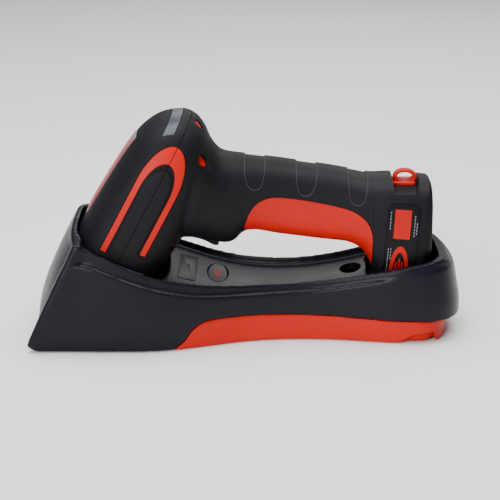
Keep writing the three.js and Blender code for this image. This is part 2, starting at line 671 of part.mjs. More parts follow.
// The pocket for the end of the handle.
const REAR_FLOOR = 26.6;
function handlePocket(grow) {
  const ring = (z, x0, x1, half) =>
    roundSection(20, 4.5).map(
      ([along, across]) =>
        new THREE.Vector3((x0 + x1) / 2 + along * ((x1 - x0) / 2 + grow), across * (half + grow), z),
    );
  return loft([
    ring(REAR_FLOOR - grow, 72.5, 107, 26.6),
    ring(34, DECK_REAR, 110.4, 27.4),
    ring(44, DECK_REAR, 112.8, 28),
    ring(60, DECK_REAR, 113.2, 28),
    ring(120, DECK_REAR, 113.2, 28),
  ]);
}

// ---------------------------------------------------------------- cradle pieces
const MOUNT_HOLE = { x: 62, halfX: 6.6, halfY: 9.6 };
const BUTTON = { x: -17.6, halfX: 6.1, halfY: 18 };
const TABLET = { x: -35.6, halfX: 5.2, halfY: 23.5 };
const CONTACTS = [-6.6, -2.2, 2.2, 6.6];
const CONTACT_X = 91;

// Follows the deck's slope at x: an upright shape becomes square to the deck there.
function onDeck(solid, x) {
  const slope = Math.atan2(rimHeight(x + 6) - rimHeight(x - 6), 12);
  const top = deckEdge(x) + DECK_CROWN;
  const place = new THREE.Matrix4().makeRotationY(-slope).setPosition(x, 0, top);
  return solid.transform(place.elements);
}
function ovalPost(halfX, halfY, z0, z1) {
  const shape = new THREE.Shape();
  shape.absellipse(0, 0, halfX, halfY, 0, 2 * Math.PI, false, 0);
  const options = { depth: z1 - z0, bevelEnabled: false, curveSegments: 24 };
  const geometry = new THREE.ExtrudeGeometry(shape, options);
  geometry.translate(0, 0, z0);
  return toSolid(geometry);
}

function buildCradleShell() {
  const rimLine = [[WALL_END, 62.6], ...RIM.slice(1).map(([x, z]) => [x, z])];
  const profile = [
    [-140, SHELL_BOTTOM],
    ...BASE_LINE,
    [140, 12.6],
    [140, 34],
    [124.6, 41.6],
    [119, 46.8],
    ...rimLine.reverse(),
    [WALL_END, CUP_TOP],
    [-140, CUP_TOP],
  ];
  const underside = (x) => (x < DECK_FRONT ? rimHeight(x) - 9 : deckEdge(x) - WALL);
  const hollowProfile = [
    [-140, -10],
    [-140, PLATE_TOP + GAP],
    [-115, PLATE_TOP + GAP],
    [-115, 30],
    ...RIM.filter(([x]) => x < 110).map(([x]) => [x, underside(x)]),
    [112, 36],
    [121, 30],
    [122, -10],
  ];
  const hollow = cradleBody(WALL, COARSE_LEVELS)
    .intersect(sidePrism(hollowProfile, -FAR, FAR))
    .subtract(nosePocket(WALL - 0.4))
    .subtract(handlePocket(WALL - 0.4));
  const archLine = [
    [60, 90],
    [-60, 90],
    ...WALL_ARCH.slice(1).reverse().map(([y, z]) => [-y, z]),
    ...WALL_ARCH,
  ];
  const [tabletX, tabletY] = [TABLET.halfX + GAP, TABLET.halfY + GAP];
  let shell = cradleBody(0)
    .intersect(sidePrism(profile, -FAR, FAR))
    .subtract(frontPrism(archLine, -140, WALL_END))
    .subtract(deckTrough(0, 0))
    .subtract(nosePocket(0))
    .subtract(handlePocket(0))
    .subtract(hollow)
    .subtract(onDeck(ovalPost(BUTTON.halfX + 0.5, BUTTON.halfY + 0.5, -6, 6), BUTTON.x))
    .subtract(onDeck(box(-tabletX, tabletX, -tabletY, tabletY, -1.4, 6), TABLET.x))
    .subtract(onDeck(ovalPost(MOUNT_HOLE.halfX, MOUNT_HOLE.halfY, -8, 8), MOUNT_HOLE.x));
  for (const y of CONTACTS) shell = shell.subtract(rod("z", 1.5, 20, 28, [CONTACT_X, y], 12));
  addPiece(cradle, "cradle_shell", "shell_black", largestBody(shell));
}

const FEET = [[-96, 34], [-96, -34], [88, 19], [88, -19]];
const BASE_SCREWS = [[-62, 37], [-62, -37], [68, 20], [68, -20]];
// The bay under the rear for the plug, its way out at the back, and a finger scoop on each side.
const BAY = { x0: 92.3, x1: 112, half: 9, roof: 13 };
const CABLE_WAY = { half: 4.4, roof: 7.4 };
const SCOOP = [[90, -1], [93.5, 2.4], [97, 5], [100.5, 6], [108.5, 6.6], [110, -1]];
const BASE_SIDE = 0.8; // how far the red base stands inside the outline's sides
const BASE_LEVELS = [0.3, 22].map((z) => {
  const [, side, , cheek, middle] = LEVELS.find((level) => level[0] === z);
  return [z, z < 1 ? 0 : side, z < 1 ? 119.6 : 122.2, cheek, middle];
});
function buildCradleBase() {
  const line = BASE_LINE.map(([x, z]) => [x + (x < -22 ? GAP : 0), z - GAP]);
  const profile = [[-42.4, FOOT_HEIGHT], ...line, [140, 12.4], [140, FOOT_HEIGHT]];
  const cableWay = box(105, 140, -CABLE_WAY.half, CABLE_WAY.half, 0, CABLE_WAY.roof);
  const scoop = sidePrism(SCOOP, -FAR, FAR).subtract(cradleBody(BASE_SIDE + 2.2, BASE_LEVELS));
  const rail = cradleBody(BASE_SIDE, BASE_LEVELS)
    .intersect(sidePrism(profile, -FAR, FAR))
    .subtract(scoop)
    .subtract(cradleBody(BASE_SIDE + 2 + WALL, BASE_LEVELS))
    .subtract(cableWay);
  const plateRoom = cradleBody(WALL + GAP, BASE_LEVELS).intersect(
    box(-60, 0, -FAR, FAR, 0, PLATE_TOP + GAP),
  );
  addPiece(cradle, "cradle_base", "housing_red", largestBody(rail.subtract(plateRoom)));

  const plateLevels = BASE_LEVELS.map(([z, side, rear, cheek, middle]) => {
    return [z, side, rear, cheek + 2, middle + 2];
  });
  let plate = cradleBody(BASE_SIDE + 2 + WALL + GAP, plateLevels).intersect(
    box(-FAR, FAR, -FAR, FAR, FOOT_HEIGHT, PLATE_TOP),
  );
  for (const [x, y] of BASE_SCREWS) plate = plate.subtract(rod("z", 2.4, -1, 1.7, [x, y], 12));
  const bay = box(BAY.x0, BAY.x1, -BAY.half, BAY.half, 0, BAY.roof);
  const jackHole = box(76 - GAP, BAY.x0, -8 - GAP, 8 + GAP, 0, BAY.roof);
  plate = plate.subtract(bay).subtract(jackHole).subtract(cableWay);
  addPiece(cradle, "base_plate", "seal_rubber", plate);
  FEET.forEach(([x, y], i) => {
    addPiece(cradle, `foot_${i + 1}`, "seal_rubber", rod("z", 6, 0, FOOT_HEIGHT - 0.02, [x, y], 20));
  });
  BASE_SCREWS.forEach(([x, y], i) => {
    const head = rod("z", 2.1, FOOT_HEIGHT + 0.1, 1.68, [x, y], 12);
    addPiece(cradle, `base_screw_${i + 1}`, "screw_steel", head);
  });
}

function buildCradleFittings() {
  const button = ovalPost(BUTTON.halfX, BUTTON.halfY, -3.4, -0.3);
  addPiece(cradle, "page_button", "shell_black", onDeck(button, BUTTON.x));
  const tablet = box(-TABLET.halfX, TABLET.halfX, -TABLET.halfY, TABLET.halfY, -1.1, -0.35);
  addPiece(cradle, "deck_tablet", "shell_black", onDeck(tablet, TABLET.x));
  addPiece(cradle, "cradle_board", "circuit_board", box(-28, 58, -19, 19, 15.4, 17));
  let block = box(86, 96, -10, 10, 16.5, 23.8);
  for (const y of CONTACTS) block = block.subtract(rod("z", 1.35, 10, 30, [CONTACT_X, y], 12));
  addPiece(cradle, "contact_block", "label_black", block);
  CONTACTS.forEach((y, i) => {
    const pin = rod("z", 1.1, 18.6, 29.9, [CONTACT_X, y], 12);
    addPiece(cradle, `charge_pin_${i + 1}`, "contact_gold", pin);
  });
  const jack = box(76, 92, -8, 8, FOOT_HEIGHT + 0.8, 13.5).subtract(box(79, 94, -5.9, 5.9, 3.6, 11.4));
  addPiece(cradle, "cable_jack", "label_black", jack);
}

buildHeadTop();
buildArchInlays();
buildGripHousing();
buildScrews();
buildNose();
buildEngine();
buildInternals();
buildTrigger();
buildEndCap();
buildCradleShell();
buildCradleBase();
buildCradleFittings();

export default object;
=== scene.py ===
# %% [markdown]
# # A barcode scanner resting in its charging cradle
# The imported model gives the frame: where every part sits and how it moves. Blender adds the
# moulded surfaces and finishes. Everything is in metres, X runs along the cradle, Z is up.

# %% Load the frame
import bpy
import bmesh
import json
import math
from mathutils import Matrix, Vector


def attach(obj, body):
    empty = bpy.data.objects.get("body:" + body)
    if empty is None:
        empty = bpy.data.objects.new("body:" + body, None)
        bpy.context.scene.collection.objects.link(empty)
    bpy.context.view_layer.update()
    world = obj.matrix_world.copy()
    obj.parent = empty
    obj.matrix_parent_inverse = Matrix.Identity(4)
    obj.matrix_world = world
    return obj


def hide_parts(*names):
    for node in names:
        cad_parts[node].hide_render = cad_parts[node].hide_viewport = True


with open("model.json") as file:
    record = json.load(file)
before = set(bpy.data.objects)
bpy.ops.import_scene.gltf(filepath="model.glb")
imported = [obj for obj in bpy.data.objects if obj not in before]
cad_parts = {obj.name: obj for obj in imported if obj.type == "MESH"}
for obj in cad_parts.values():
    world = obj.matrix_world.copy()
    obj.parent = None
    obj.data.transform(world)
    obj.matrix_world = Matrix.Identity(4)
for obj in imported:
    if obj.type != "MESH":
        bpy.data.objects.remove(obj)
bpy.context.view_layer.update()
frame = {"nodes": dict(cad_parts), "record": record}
MM = 0.001

# %% [markdown]
# The camera looks at the side of the scanner from slightly above, with a long lens from a metre
# away, so that the long cradle is hardly foreshortened.

# %% Camera
LOOK_DOWN = math.radians(17.0)
look_at = Vector((0.00175, 0, 0.0471))
bpy.ops.object.camera_add()
camera = bpy.context.object
camera.name = "camera"
camera.location = look_at + Vector((0, -math.cos(LOOK_DOWN), math.sin(LOOK_DOWN)))
camera.rotation_euler = (math.pi / 2 - LOOK_DOWN, 0, 0)
camera.data.lens = 120
camera.data.sensor_width = 36
bpy.context.scene.camera = camera


# %% [markdown]
# Operators work on whatever is selected, and loading the frame leaves its nodes selected. These
# small helpers put one object in hand, cut it with another and tidy the result, as one would do
# with the mouse.

# %% Working helpers
def let_go():
    if bpy.context.object and bpy.context.object.mode != "OBJECT":
        bpy.ops.object.mode_set(mode="OBJECT")
    bpy.ops.object.select_all(action="DESELECT")


def take(obj):
    let_go()
    obj.select_set(True)
    bpy.context.view_layer.objects.active = obj


def modify(obj, kind, **settings):
    take(obj)
    modifier = obj.modifiers.new(kind.title(), kind)
    for key, value in settings.items():
        setattr(modifier, key, value)
    bpy.ops.object.modifier_apply(modifier=modifier.name)


def discard(obj):
    mesh = obj.data
    bpy.data.objects.remove(obj)
    bpy.data.meshes.remove(mesh)


def combine(obj, tool, operation="DIFFERENCE", keep_tool=False):
    modify(obj, "BOOLEAN", operation=operation, solver="EXACT", object=tool)
    if not keep_tool:
        discard(tool)
    return obj


def copy_of(obj, name):
    twin = obj.copy()
    twin.data = obj.data.copy()
    twin.name = name
    bpy.context.collection.objects.link(twin)
    return twin


def gather(parts, name):
    """Several separate meshes as one object."""
    let_go()
    for part in parts:
        part.select_set(True)
    bpy.context.view_layer.objects.active = parts[0]
    bpy.ops.object.join()
    parts[0].name = name
    return parts[0]


def keep_side(obj, point, normal, fill=True):
    """Cut by a plane and drop what lies on the side that the normal points to."""
    take(obj)
    bpy.ops.object.mode_set(mode="EDIT")
    bpy.ops.mesh.select_all(action="SELECT")
    bpy.ops.mesh.bisect(plane_co=point, plane_no=normal, use_fill=fill, clear_outer=True)
    bpy.ops.object.mode_set(mode="OBJECT")
    return obj


def smooth_shade(obj, degrees=38):
    take(obj)
    bpy.ops.object.shade_smooth_by_angle(angle=math.radians(degrees))


# %% [markdown]
# Most shapes here are moulded skins. They are drawn as a boatbuilder would: a circle is added,
# its points are placed on the first section, and it is extruded from section to section. The
# sections come from tables whose values run smoothly from row to row.

# %% Sections and skins
def slopes(stations, values):
    """Slopes for a curve through the values that never overshoots them."""
    steps = [(values[i + 1] - values[i]) / (stations[i + 1] - stations[i]) for i in range(len(values) - 1)]
    inner = [0 if a * b <= 0 else 2 * a * b / (a + b) for a, b in zip(steps, steps[1:])]
    return [steps[0], *inner, steps[-1]]


def smooth_table(rows):
    """Rows of (station, value, ...) become a function of the station."""
    stations = [row[0] for row in rows]
    columns = [[row[c] for row in rows] for c in range(1, len(rows[0]))]
    tangents = [slopes(stations, column) for column in columns]

    def at(station):
        s = min(max(station, stations[0]), stations[-1])
        i = max(k for k in range(len(stations) - 1) if stations[k] <= s or k == 0)
        gap = stations[i + 1] - stations[i]
        t = (s - stations[i]) / gap
        h = (2 * t**3 - 3 * t**2 + 1, t**3 - 2 * t**2 + t, 3 * t**2 - 2 * t**3, t**3 - t**2)
        return [h[0] * c[i] + h[1] * gap * m[i] + h[2] * c[i + 1] + h[3] * gap * m[i + 1]
                for c, m in zip(columns, tangents)]

    return at


def section(count, power):
    """Factors across and up round one section, squarer as the power grows."""
    def shape(v):
        return math.copysign(abs(v) ** (2 / power), v)

    turns = [2 * math.pi * (i + 0.5) / count for i in range(count)]
    return [(shape(math.cos(a)), shape(math.sin(a))) for a in turns]


def skin(name, rings):
    """A closed skin through rings of points given in millimetres."""
    let_go()
    bpy.ops.mesh.primitive_circle_add(vertices=len(rings[0]), radius=0.01)
    obj = bpy.context.object
    obj.name = name
    bpy.ops.object.mode_set(mode="EDIT")
    bpy.ops.mesh.select_all(action="SELECT")
    bpy.ops.mesh.edge_face_add()
    for number, ring in enumerate(rings):
        if number:
            bpy.ops.mesh.extrude_region_move()
        mesh = bmesh.from_edit_mesh(obj.data)
        mesh.verts.ensure_lookup_table()
        for i, point in enumerate(ring):
            mesh.verts[number * len(ring) + i].co = Vector(point) * MM
        bmesh.update_edit_mesh(obj.data)
    bpy.ops.mesh.select_all(action="SELECT")
    bpy.ops.mesh.normals_make_consistent(inside=False)
    bpy.ops.object.mode_set(mode="OBJECT")
    return obj


def slab(name, outline, low, high, axis="y", frame_matrix=None):
    """An outline extruded along an axis, then placed by a matrix, all in millimetres."""
    def place(a, b, t):
        return {"x": (t, a, b), "y": (a, t, b), "z": (a, b, t)}[axis]

    rings = [[place(a, b, t) for a, b in outline] for t in (low, high)]
    obj = skin(name, rings)
    if frame_matrix:
        obj.data.transform(frame_matrix)
    return obj


def rectangle(a0, a1, b0, b1):
    return [(a0, b0), (a1, b0), (a1, b1), (a0, b1)]


def arc(x, z, rx, rz, start, end, steps):
    """Points on part of an ellipse, from one angle to another."""
    turns = [math.radians(start + (end - start) * i / steps) for i in range(steps + 1)]
    return [(x + rx * math.cos(a), z + rz * math.sin(a)) for a in turns]


def rounded(a0, a1, b0, b1, radius, steps=8):
    """A rectangle between two values each way, with round corners."""
    corners = [(a1 - radius, b1 - radius, 90), (a1 - radius, b0 + radius, 0),
               (a0 + radius, b0 + radius, 270), (a0 + radius, b1 - radius, 180)]
    return [point for a, b, turn in corners for point in arc(a, b, radius, radius, turn, turn - 90, steps)]


def bezier(p0, p1, p2, p3, steps=16):
    """A bowed curve towards its last point, without its first."""
    out = []
    for i in range(1, steps + 1):
        t = i / steps
        k = ((1 - t) ** 3, 3 * t * (1 - t) ** 2, 3 * t * t * (1 - t), t**3)
        out.append(tuple(sum(w * p[c] for w, p in zip(k, (p0, p1, p2, p3))) for c in (0, 1)))
    return out


# %% [markdown]
# The scanner's head points down into the cradle at 28 degrees from the vertical. Its sections
# are easiest to write in the head's own frame: along the aiming axis, across, and up from the
# seam between its two shells. A matrix then puts them into the cradle's frame.

# %% The head's frame and the scanner's sections
HEAD_TILT = math.radians(28)
HEAD_BACK = Vector((-32.4, 0, 130.8))
AIM = Vector((-math.sin(HEAD_TILT), 0, -math.cos(HEAD_TILT)))
RISE = Vector((-math.cos(HEAD_TILT), 0, math.sin(HEAD_TILT)))
HEAD_FRAME = Matrix.Translation(HEAD_BACK * MM) @ Matrix((AIM, (0, -1, 0), RISE)).transposed().to_4x4()

HEAD_SECTIONS = [
    (0, 8, 3.5, 4), (1.6, 15, 7, 7.5), (5, 22.5, 11.8, 12.8), (10, 28.5, 17, 18),
    (18, 33.5, 21.5, 22.5), (28, 36.5, 24.5, 25.5), (45, 38.4, 26.4, 27.5), (70, 39, 28, 28.6),
    (86, 39, 28.6, 26.5), (104, 38.5, 28.4, 24.5), (116, 37.6, 27.6, 23.6), (120, 36.4, 26.6, 22.8),
]
HANDLE_SECTIONS = [
    (-27, 121, -47, 58, 30), (-22, 116.4, -37.4, 57.5, 30), (-18.2, 111, -30, 57, 27.4),
    (-14.8, 108.4, -22.6, 55.6, 25.2), (-10.6, 107.4, -13.6, 53.4, 23.7), (-7, 107, -8.4, 54.4, 22.8),
    (-4.6, 106.7, -5.2, 57.2, 22.2), (-2, 106.4, -2, 60.4, 21.6), (5, 105.5, 5, 61, 20.7),
    (18, 103.9, 18, 58.8, 20.2), (32, 101.8, 32, 57, 20), (46, 99.8, 46, 55.3, 20.3),
    (59.2, 97.3, 59.2, 53.9, 21.5), (65, 96.2, 65, 51.6, 22.5), (69.2, 95.2, 69.2, 48.2, 23.4),
    (72.2, 94.7, 72.2, 43.2, 24), (76, 94.4, 76, 35.2, 24.8), (81, 94.5, 81, 30.4, 25.3),
    (97, 94, 97, 30, 25.5), (102.6, 93, 102.6, 34.5, 25), (106.4, 92.7, 106.4, 42, 24.2),
    (108.4, 90.9, 108.4, 46, 22.6),
]
head_at = smooth_table(HEAD_SECTIONS)
handle_at = smooth_table([(i, *row) for i, row in enumerate(HANDLE_SECTIONS)])
GAP = 0.3
WALL = 2.6
SHELL_FRONT = 111.7
SEAM_X = 73.6


def ease(x, low, high):
    t = min(max((x - low) / (high - low), 0), 1)
    return t * t * (3 - 2 * t)


def head_skin(name, inset=0.0, count=96, stations=None):
    stations = stations or [0, 0.4, 0.9, 1.6, 2.6, 3.7, 5, 6.5, 8, 10, 12.5, 15, 18, 22, 28, 36, 45,
                            54, 62, 70, 78, 86, 92, 98, 104, 110, 116, 118, 120]
    rings = []
    for s in stations:
        half, up, down = [max(v - inset, 1) for v in head_at(s)]
        pairs = section(count, 2.35 + 0.85 * ease(s, 0, 90))
        rings.append([(min(max(s, inset), 120), a * half, r * (up if r > 0 else down)) for a, r in pairs])
    obj = skin(name, rings)
    obj.data.transform(HEAD_FRAME)
    return obj


def handle_skin(name, inset=0.0, count=80, step=0.25):
    rings = []
    total = len(HANDLE_SECTIONS) - 1
    for i in range(int(total / step) + 1):
        x_top, top, x_low, low, half = handle_at(i * step)
        lean = (x_top - x_low) / (top - low)
        rise = (top - low) / 2 - inset
        back = inset if i * step == total else 0
        pairs = section(count, 2.4 + 0.6 * ease(x_top, 66, 84))
        x_middle, z_middle = (x_top + x_low) / 2 - back, (top + low) / 2
        rings.append([(x_middle + lean * r * rise, a * (half - inset), z_middle + r * rise)
                      for a, r in pairs])
    return skin(name, rings)


# %% [markdown]
# The rubbery housing is one flowing body before it is parted into shells. The two skins are
# joined and remeshed into one surface, and a few rounds of smoothing blend the neck. From this
# master every outer piece is cut, so that the pieces stay flush with each other.

# %% The master body of the scanner
FINE = 0.95
master = head_skin("master_body")
handle = handle_skin("handle_loft")
combine(master, handle, "UNION")
modify(master, "REMESH", mode="VOXEL", voxel_size=FINE * MM, adaptivity=0)
neck = master.vertex_groups.new(name="neck")
centre = Vector((-20, 0, 84)) * MM
for vert in master.data.vertices:
    away = (vert.co - centre).length / MM
    if away < 40 and -42 < vert.co.x / MM < 0:
        neck.add([vert.index], 1 - ease(away, 26, 40), "REPLACE")
modify(master, "SMOOTH", factor=0.5, iterations=6)
modify(master, "SMOOTH", factor=0.5, iterations=26, vertex_group="neck")
master.vertex_groups.clear()
print("master faces", len(master.data.polygons))


def shrunk(depth):
    """The master taken in evenly by a depth in millimetres."""
    twin = copy_of(master, "master_in")
    take(twin)
    bpy.ops.object.mode_set(mode="EDIT")
    bpy.ops.mesh.select_all(action="SELECT")
    bpy.ops.transform.shrink_fatten(value=-depth * MM)
    bpy.ops.object.mode_set(mode="OBJECT")
    return twin


cores = {depth: shrunk(depth) for depth in (0.25, 0.5, 0.75, 1.3, 1.7)}
inner_head = head_skin("inner_head", WALL, 28, [2, 5, 10, 18, 28, 45, 70, 86, 104, 121])
inner_handle = handle_skin("inner_handle", WALL, 24, 1)
combine(inner_head, inner_handle, "UNION")
hollow = inner_head


def layer(outline_slab, outer, inner):
    """What a slab takes out of the skin between two depths."""
    if outer:
        combine(outline_slab, cores[outer], "INTERSECT", keep_tool=True)
    else:
        combine(outline_slab, master, "INTERSECT", keep_tool=True)
    return combine(outline_slab, cores[inner], "DIFFERENCE", keep_tool=True)


def groove(outline_slab, depth):
    """A cutter that goes only so deep into the skin."""
    return combine(outline_slab, cores[depth], "DIFFERENCE", keep_tool=True)


# %% [markdown]
# The orange arch on each cheek is an inlay with two legs. The groove round it is cut a little
# wider than the inlay, which leaves the fine dark line that two moulded parts always show.

# %% Arch outlines
ARCH = {"leg_outer": 12.4, "leg_inner": 8.6, "back_outer": 15, "back_inner": 26.5,
        "spring_outer": 41, "spring_inner": 44, "upper_end": 88, "lower_end": 80}


def arch_outline(grow, channel=0.0):
    """The arch, grown all round, with its inner edge moved outwards by the channel."""
    a = ARCH
    outer, inner = a["leg_outer"] + grow, a["leg_inner"] - grow + channel
    crown = a["spring_inner"] - a["back_inner"] - grow + channel * 2.6
    back = arc(a["spring_outer"], 0, a["spring_outer"] - a["back_outer"] + grow, outer, 90, 270, 36)
    front = arc(a["spring_inner"], 0, crown, inner, 270, 90, 28)
    return [(a["upper_end"] + grow, outer), *back, (a["lower_end"] + grow, -outer),
            (a["lower_end"] + grow, -inner), *front, (a["upper_end"] + grow, inner)]


def both_cheeks(name, outline, inner=15, outer=60):
    """One slab through both sides of the head, without its middle."""
    cheeks = [slab("cheek", outline, sign * inner, sign * outer, "y", HEAD_FRAME) for sign in (1, -1)]
    return gather(cheeks, name)


# %% [markdown]
# The upper shell is the part of the master above the seam. It is hollowed with a plain inner
# body, and the grooves for the arches, the light band and the name plate are cut into its skin.

# %% Upper shell of the head
def in_head(s, y, up):
    """A place given in the head's frame."""
    return HEAD_FRAME @ (Vector((s, y, up)) * MM)


pieces = {}


def piece(obj, name, body, slot, replaces=(), degrees=38):
    """Hand a finished piece over: its name, body, finish and the nodes that it stands for."""
    obj.name = name
    obj.data.name = name
    smooth_shade(obj, degrees)
    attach(obj, body)
    if replaces:
        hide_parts(*replaces)
    pieces[name] = (obj, slot)
    return obj


arch_groove = groove(both_cheeks("arch_groove", arch_outline(0.45, -0.8)), 1.3)
top_shell = copy_of(master, "head_top_shell_skin")
keep_side(top_shell, in_head(0, 0, GAP / 2), -RISE)
keep_side(top_shell, in_head(SHELL_FRONT, 0, 0), AIM)
combine(top_shell, hollow, keep_tool=True)
combine(top_shell, arch_groove, keep_tool=True)

# Over the shoulder the skin is a quarter of a millimetre lower, and the ledge catches the light.
shoulder = [(-20, 10.75), (17.5, 10.75), *bezier((17.5, 10.75), (20, 14.5), (26, 19.2), (40, 20), 12),
            (125, 20.4), (125, 60), (-20, 60)]
combine(top_shell, groove(slab("shoulder", shoulder, -60, 60, "y", HEAD_FRAME), 0.25))

# The inlays themselves, a little below the rubber so that the groove's edge shows.
inlay = layer(both_cheeks("inlay", arch_outline(0, 0.45)), 0.25, 1.3)
for side, sign in (("left", 1), ("right", -1)):
    for place, up in (("upper", 1), ("lower", -1)):
        part = copy_of(inlay, "part")
        keep_side(part, (0, 0, 0), (0, sign, 0))
        keep_side(part, in_head(0, 0, up * GAP / 2), RISE * -up)
        piece(part, f"arch_{side}_{place}", "scanner", "housing_red", [f"arch_inlay_{side}_{place}"])
discard(inlay)

# %% [markdown]
# The status light is a strip of smoky clear plastic let into the shell, over the back of the head.
# It is a slab cut between two depths of the master, so it lies flush in the groove made for it.
# A separate loft would have to be fitted to the curve by eye.

# %% Light band round the back of the head
band_outline = [(-20, 5.2), (16, 5.2), (17.2, 6.4), (17.2, 9.4), (16, 10.6), (-20, 10.6)]
band = layer(slab("band", band_outline, -27.6, 27.6, "y", HEAD_FRAME), 0.25, 1.7)
band_room = [(-30, 4.9), (17.5, 4.9), (17.5, 10.9), (-30, 10.9)]
combine(top_shell, groove(slab("band_room", band_room, -28, 28, "y", HEAD_FRAME), 1.7))
piece(band, "status_band", "scanner", "light_pipe", ["status_light_band"])

# %% [markdown]
# A thin foil strip with round corners lies in a shallow bed on top of the head. It is left blank,
# apart from plain printed lines, which are thin layers of their own so that they keep clean edges.

# %% Name plate along the top of the head, blank, with four fine coloured lines
def top_slab(name, outline):
    return slab(name, outline, 15, 60, "z", HEAD_FRAME)


nameplate = layer(top_slab("nameplate", rounded(25, 80, -13, 13, 3)), 0.25, 0.5)
LINE_WIDTH = 1
plate_lines = [top_slab("line", rectangle(27, 78, y - LINE_WIDTH / 2, y + LINE_WIDTH / 2))
               for y in (-10.8, -5.6, 5.6, 10.8)]
plate_lines = layer(gather(plate_lines, "plate_lines"), None, 0.25)
piece(plate_lines, "nameplate_lines", "scanner", "housing_red")
combine(top_shell, groove(top_slab("plate_cut", rounded(24.7, 80.3, -13.3, 13.3, 3.2)), 0.5))
piece(nameplate, "blank_nameplate", "scanner", "nameplate_silver", ["top_nameplate"])
piece(top_shell, "head_shell", "scanner", "rubber_black", ["head_top_shell"])
print("upper shell faces", len(top_shell.data.polygons))

# %% [markdown]
# The lower shell carries the handle. Its finger side is orange, and three shallow saddles lie
# across the back of the grip. Screws are sunk in round bores whose plugs show orange.

# %% Grip housing
housing = copy_of(master, "housing_skin")
keep_side(housing, in_head(0, 0, -GAP / 2), RISE)
keep_side(housing, in_head(SHELL_FRONT, 0, 0), AIM)
keep_side(housing, ((SEAM_X - 0.08) * MM, 0, 0), (1, 0, 0))
combine(housing, hollow, keep_tool=True)
combine(housing, arch_groove)

panel_line = [(-1.6, 20), (-1.6, 66), *bezier((-1.6, 66), (0.4, 74.5), (3.5, 84.8), (17, 85)),
              *bezier((17, 85), (27, 84.6), (45, 81.4), (57, 78.5)),
              *bezier((57, 78.5), (68, 75.6), (73.45, 69.5), (73.45, 60)), (73.45, 20)]
red_panel = slab("red_panel", panel_line, -60, 60)
panel_room = copy_of(red_panel, "panel_room")
for vert in panel_room.data.vertices:
    vert.co.x += (-0.02 if vert.co.x < 0.03 else 0.4) * MM
    vert.co.z += 0.35 * MM
combine(red_panel, cores[0.25], "INTERSECT", keep_tool=True)
combine(red_panel, hollow, keep_tool=True)
combine(housing, panel_room)

# %% [markdown]
# Three shallow saddles lie across the back of the grip, where the fingers and the palm hold it, and
# each ends in a fine moulded step. The saddles are cut to an even depth with a grown outline, and
# what is left between the grown outline and the true one becomes a thin strip of lighter grey rubber:
# a painted highlight that stands in for the light caught by each step's edge.

# %% Saddles across the grip
SADDLES = [(-1.2, 10.6, 4.7, 89.7), (29.0, 41.1, 34.2, 85.9), (59.6, 70.6, 64.6, 80.8)]
SADDLE_DEPTH = 0.75
HIGHLIGHT_STRIP_WIDTH = 0.38


def saddle_slabs(name, grow):
    """All three saddles as one cutter, grown by a margin."""
    parts = []
    for x0, x1, middle, low in SADDLES:
        x0, x1, high, bottom, bow = x0 - grow, x1 + grow, low + 9.5, low - grow, 0.26 * grow
        left = bezier((x0, high + 2), (x0 + 0.2, high - 4), (middle - 4.6 - bow, bottom),
                      (middle, bottom), 12)
        right = bezier((middle, bottom), (middle + 4.4 + bow, bottom), (x1 - 1.2, high - 4),
                       (x1 - 0.4, high + 2), 12)
        parts.append(slab("saddle", [(x1, 125), (x0, 125), (x0, high + 2), *left, *right], -60, 60))
    return gather(parts, name)


highlight_strips = saddle_slabs("saddle_edge_highlights", HIGHLIGHT_STRIP_WIDTH)
saddle_room = copy_of(highlight_strips, "saddle_room")
combine(highlight_strips, saddle_slabs("saddles", 0))
combine(housing, groove(saddle_room, SADDLE_DEPTH))
highlight_strips = layer(highlight_strips, None, SADDLE_DEPTH)
# The strips take the lighter grey seal finish as a painted highlight along each saddle's edge.
piece(highlight_strips, "saddle_edge_highlights", "scanner", "seal_rubber")

# %% [markdown]
# The case screws sit at the bottom of round wells, lined in orange, and two small square openings at
# the back show the same orange. Rods and blocks are drawn in the head's frame and cut out of the
# shell, and slightly smaller ones, trimmed to a depth under the skin, become the orange lining.

# %% Screw bores, trigger slot and rear openings
SCREWS = [(17, 24.5, -11.4), (69, 27, -14.4)]


def bores(name, radius, low, lift):
    """A rod at each of the four screws, from a depth up to its well's floor and a little past it."""
    rods = [slab(name, arc(s, sign * y, radius, radius, 0, 350, 35), low, floor + lift, "z", HEAD_FRAME)
            for s, y, floor in SCREWS for sign in (1, -1)]
    return gather(rods, name)


combine(housing, bores("bores", 3.1, -60, 9))
plugs = bores("plugs", 2.75, -60, 0)
combine(plugs, bores("eyes", 1.7, -70, 5))
combine(plugs, cores[1.7], "INTERSECT", keep_tool=True)
piece(plugs, "screw_hole_liners", "scanner", "housing_red")
combine(housing, slab("trigger_slot", rectangle(-32.8, -15.7, 40, 68), -8.6, 8.6))
REAR_OPENINGS = (-9.5, 9.5)
for y in REAR_OPENINGS:
    combine(housing, slab("opening", rectangle(-3, 3.5, y - 2.9, y + 2.9), -9.1, -3.3, "z", HEAD_FRAME))
rear_plugs = gather([slab("rear_plug", rectangle(-2, 3.2, y - 2.5, y + 2.5), -8.7, -3.7, "z", HEAD_FRAME)
                     for y in REAR_OPENINGS], "rear_plugs")
rear_plugs = layer(rear_plugs, 0.75, 1.7)
piece(rear_plugs, "rear_plug_pair", "scanner", "housing_red", ["rear_plug_left", "rear_plug_right"])
piece(housing, "grip_shell", "scanner", "rubber_black", ["grip_housing"])
piece(red_panel, "finger_side", "scanner", "housing_red", ["red_grip_panel"])
print("housing faces", len(housing.data.polygons))

# %% [markdown]
# The nose ends in a bezel with a sunk window. The bezel is the last slice of the master, opened
# by two squarish plugs: a wide one behind for the glass, a narrow one through to the front.

# %% Nose bezel, seal and window
def head_loft(name, rows, count=48, power=5):
    """A skin in the head's frame, through squarish sections of (station, half width, up, down)."""
    rings = [[(s, a * half, r * (up if r > 0 else down)) for a, r in section(count, power)]
             for s, half, up, down in rows]
    obj = skin(name, rings)
    obj.data.transform(HEAD_FRAME)
    return obj


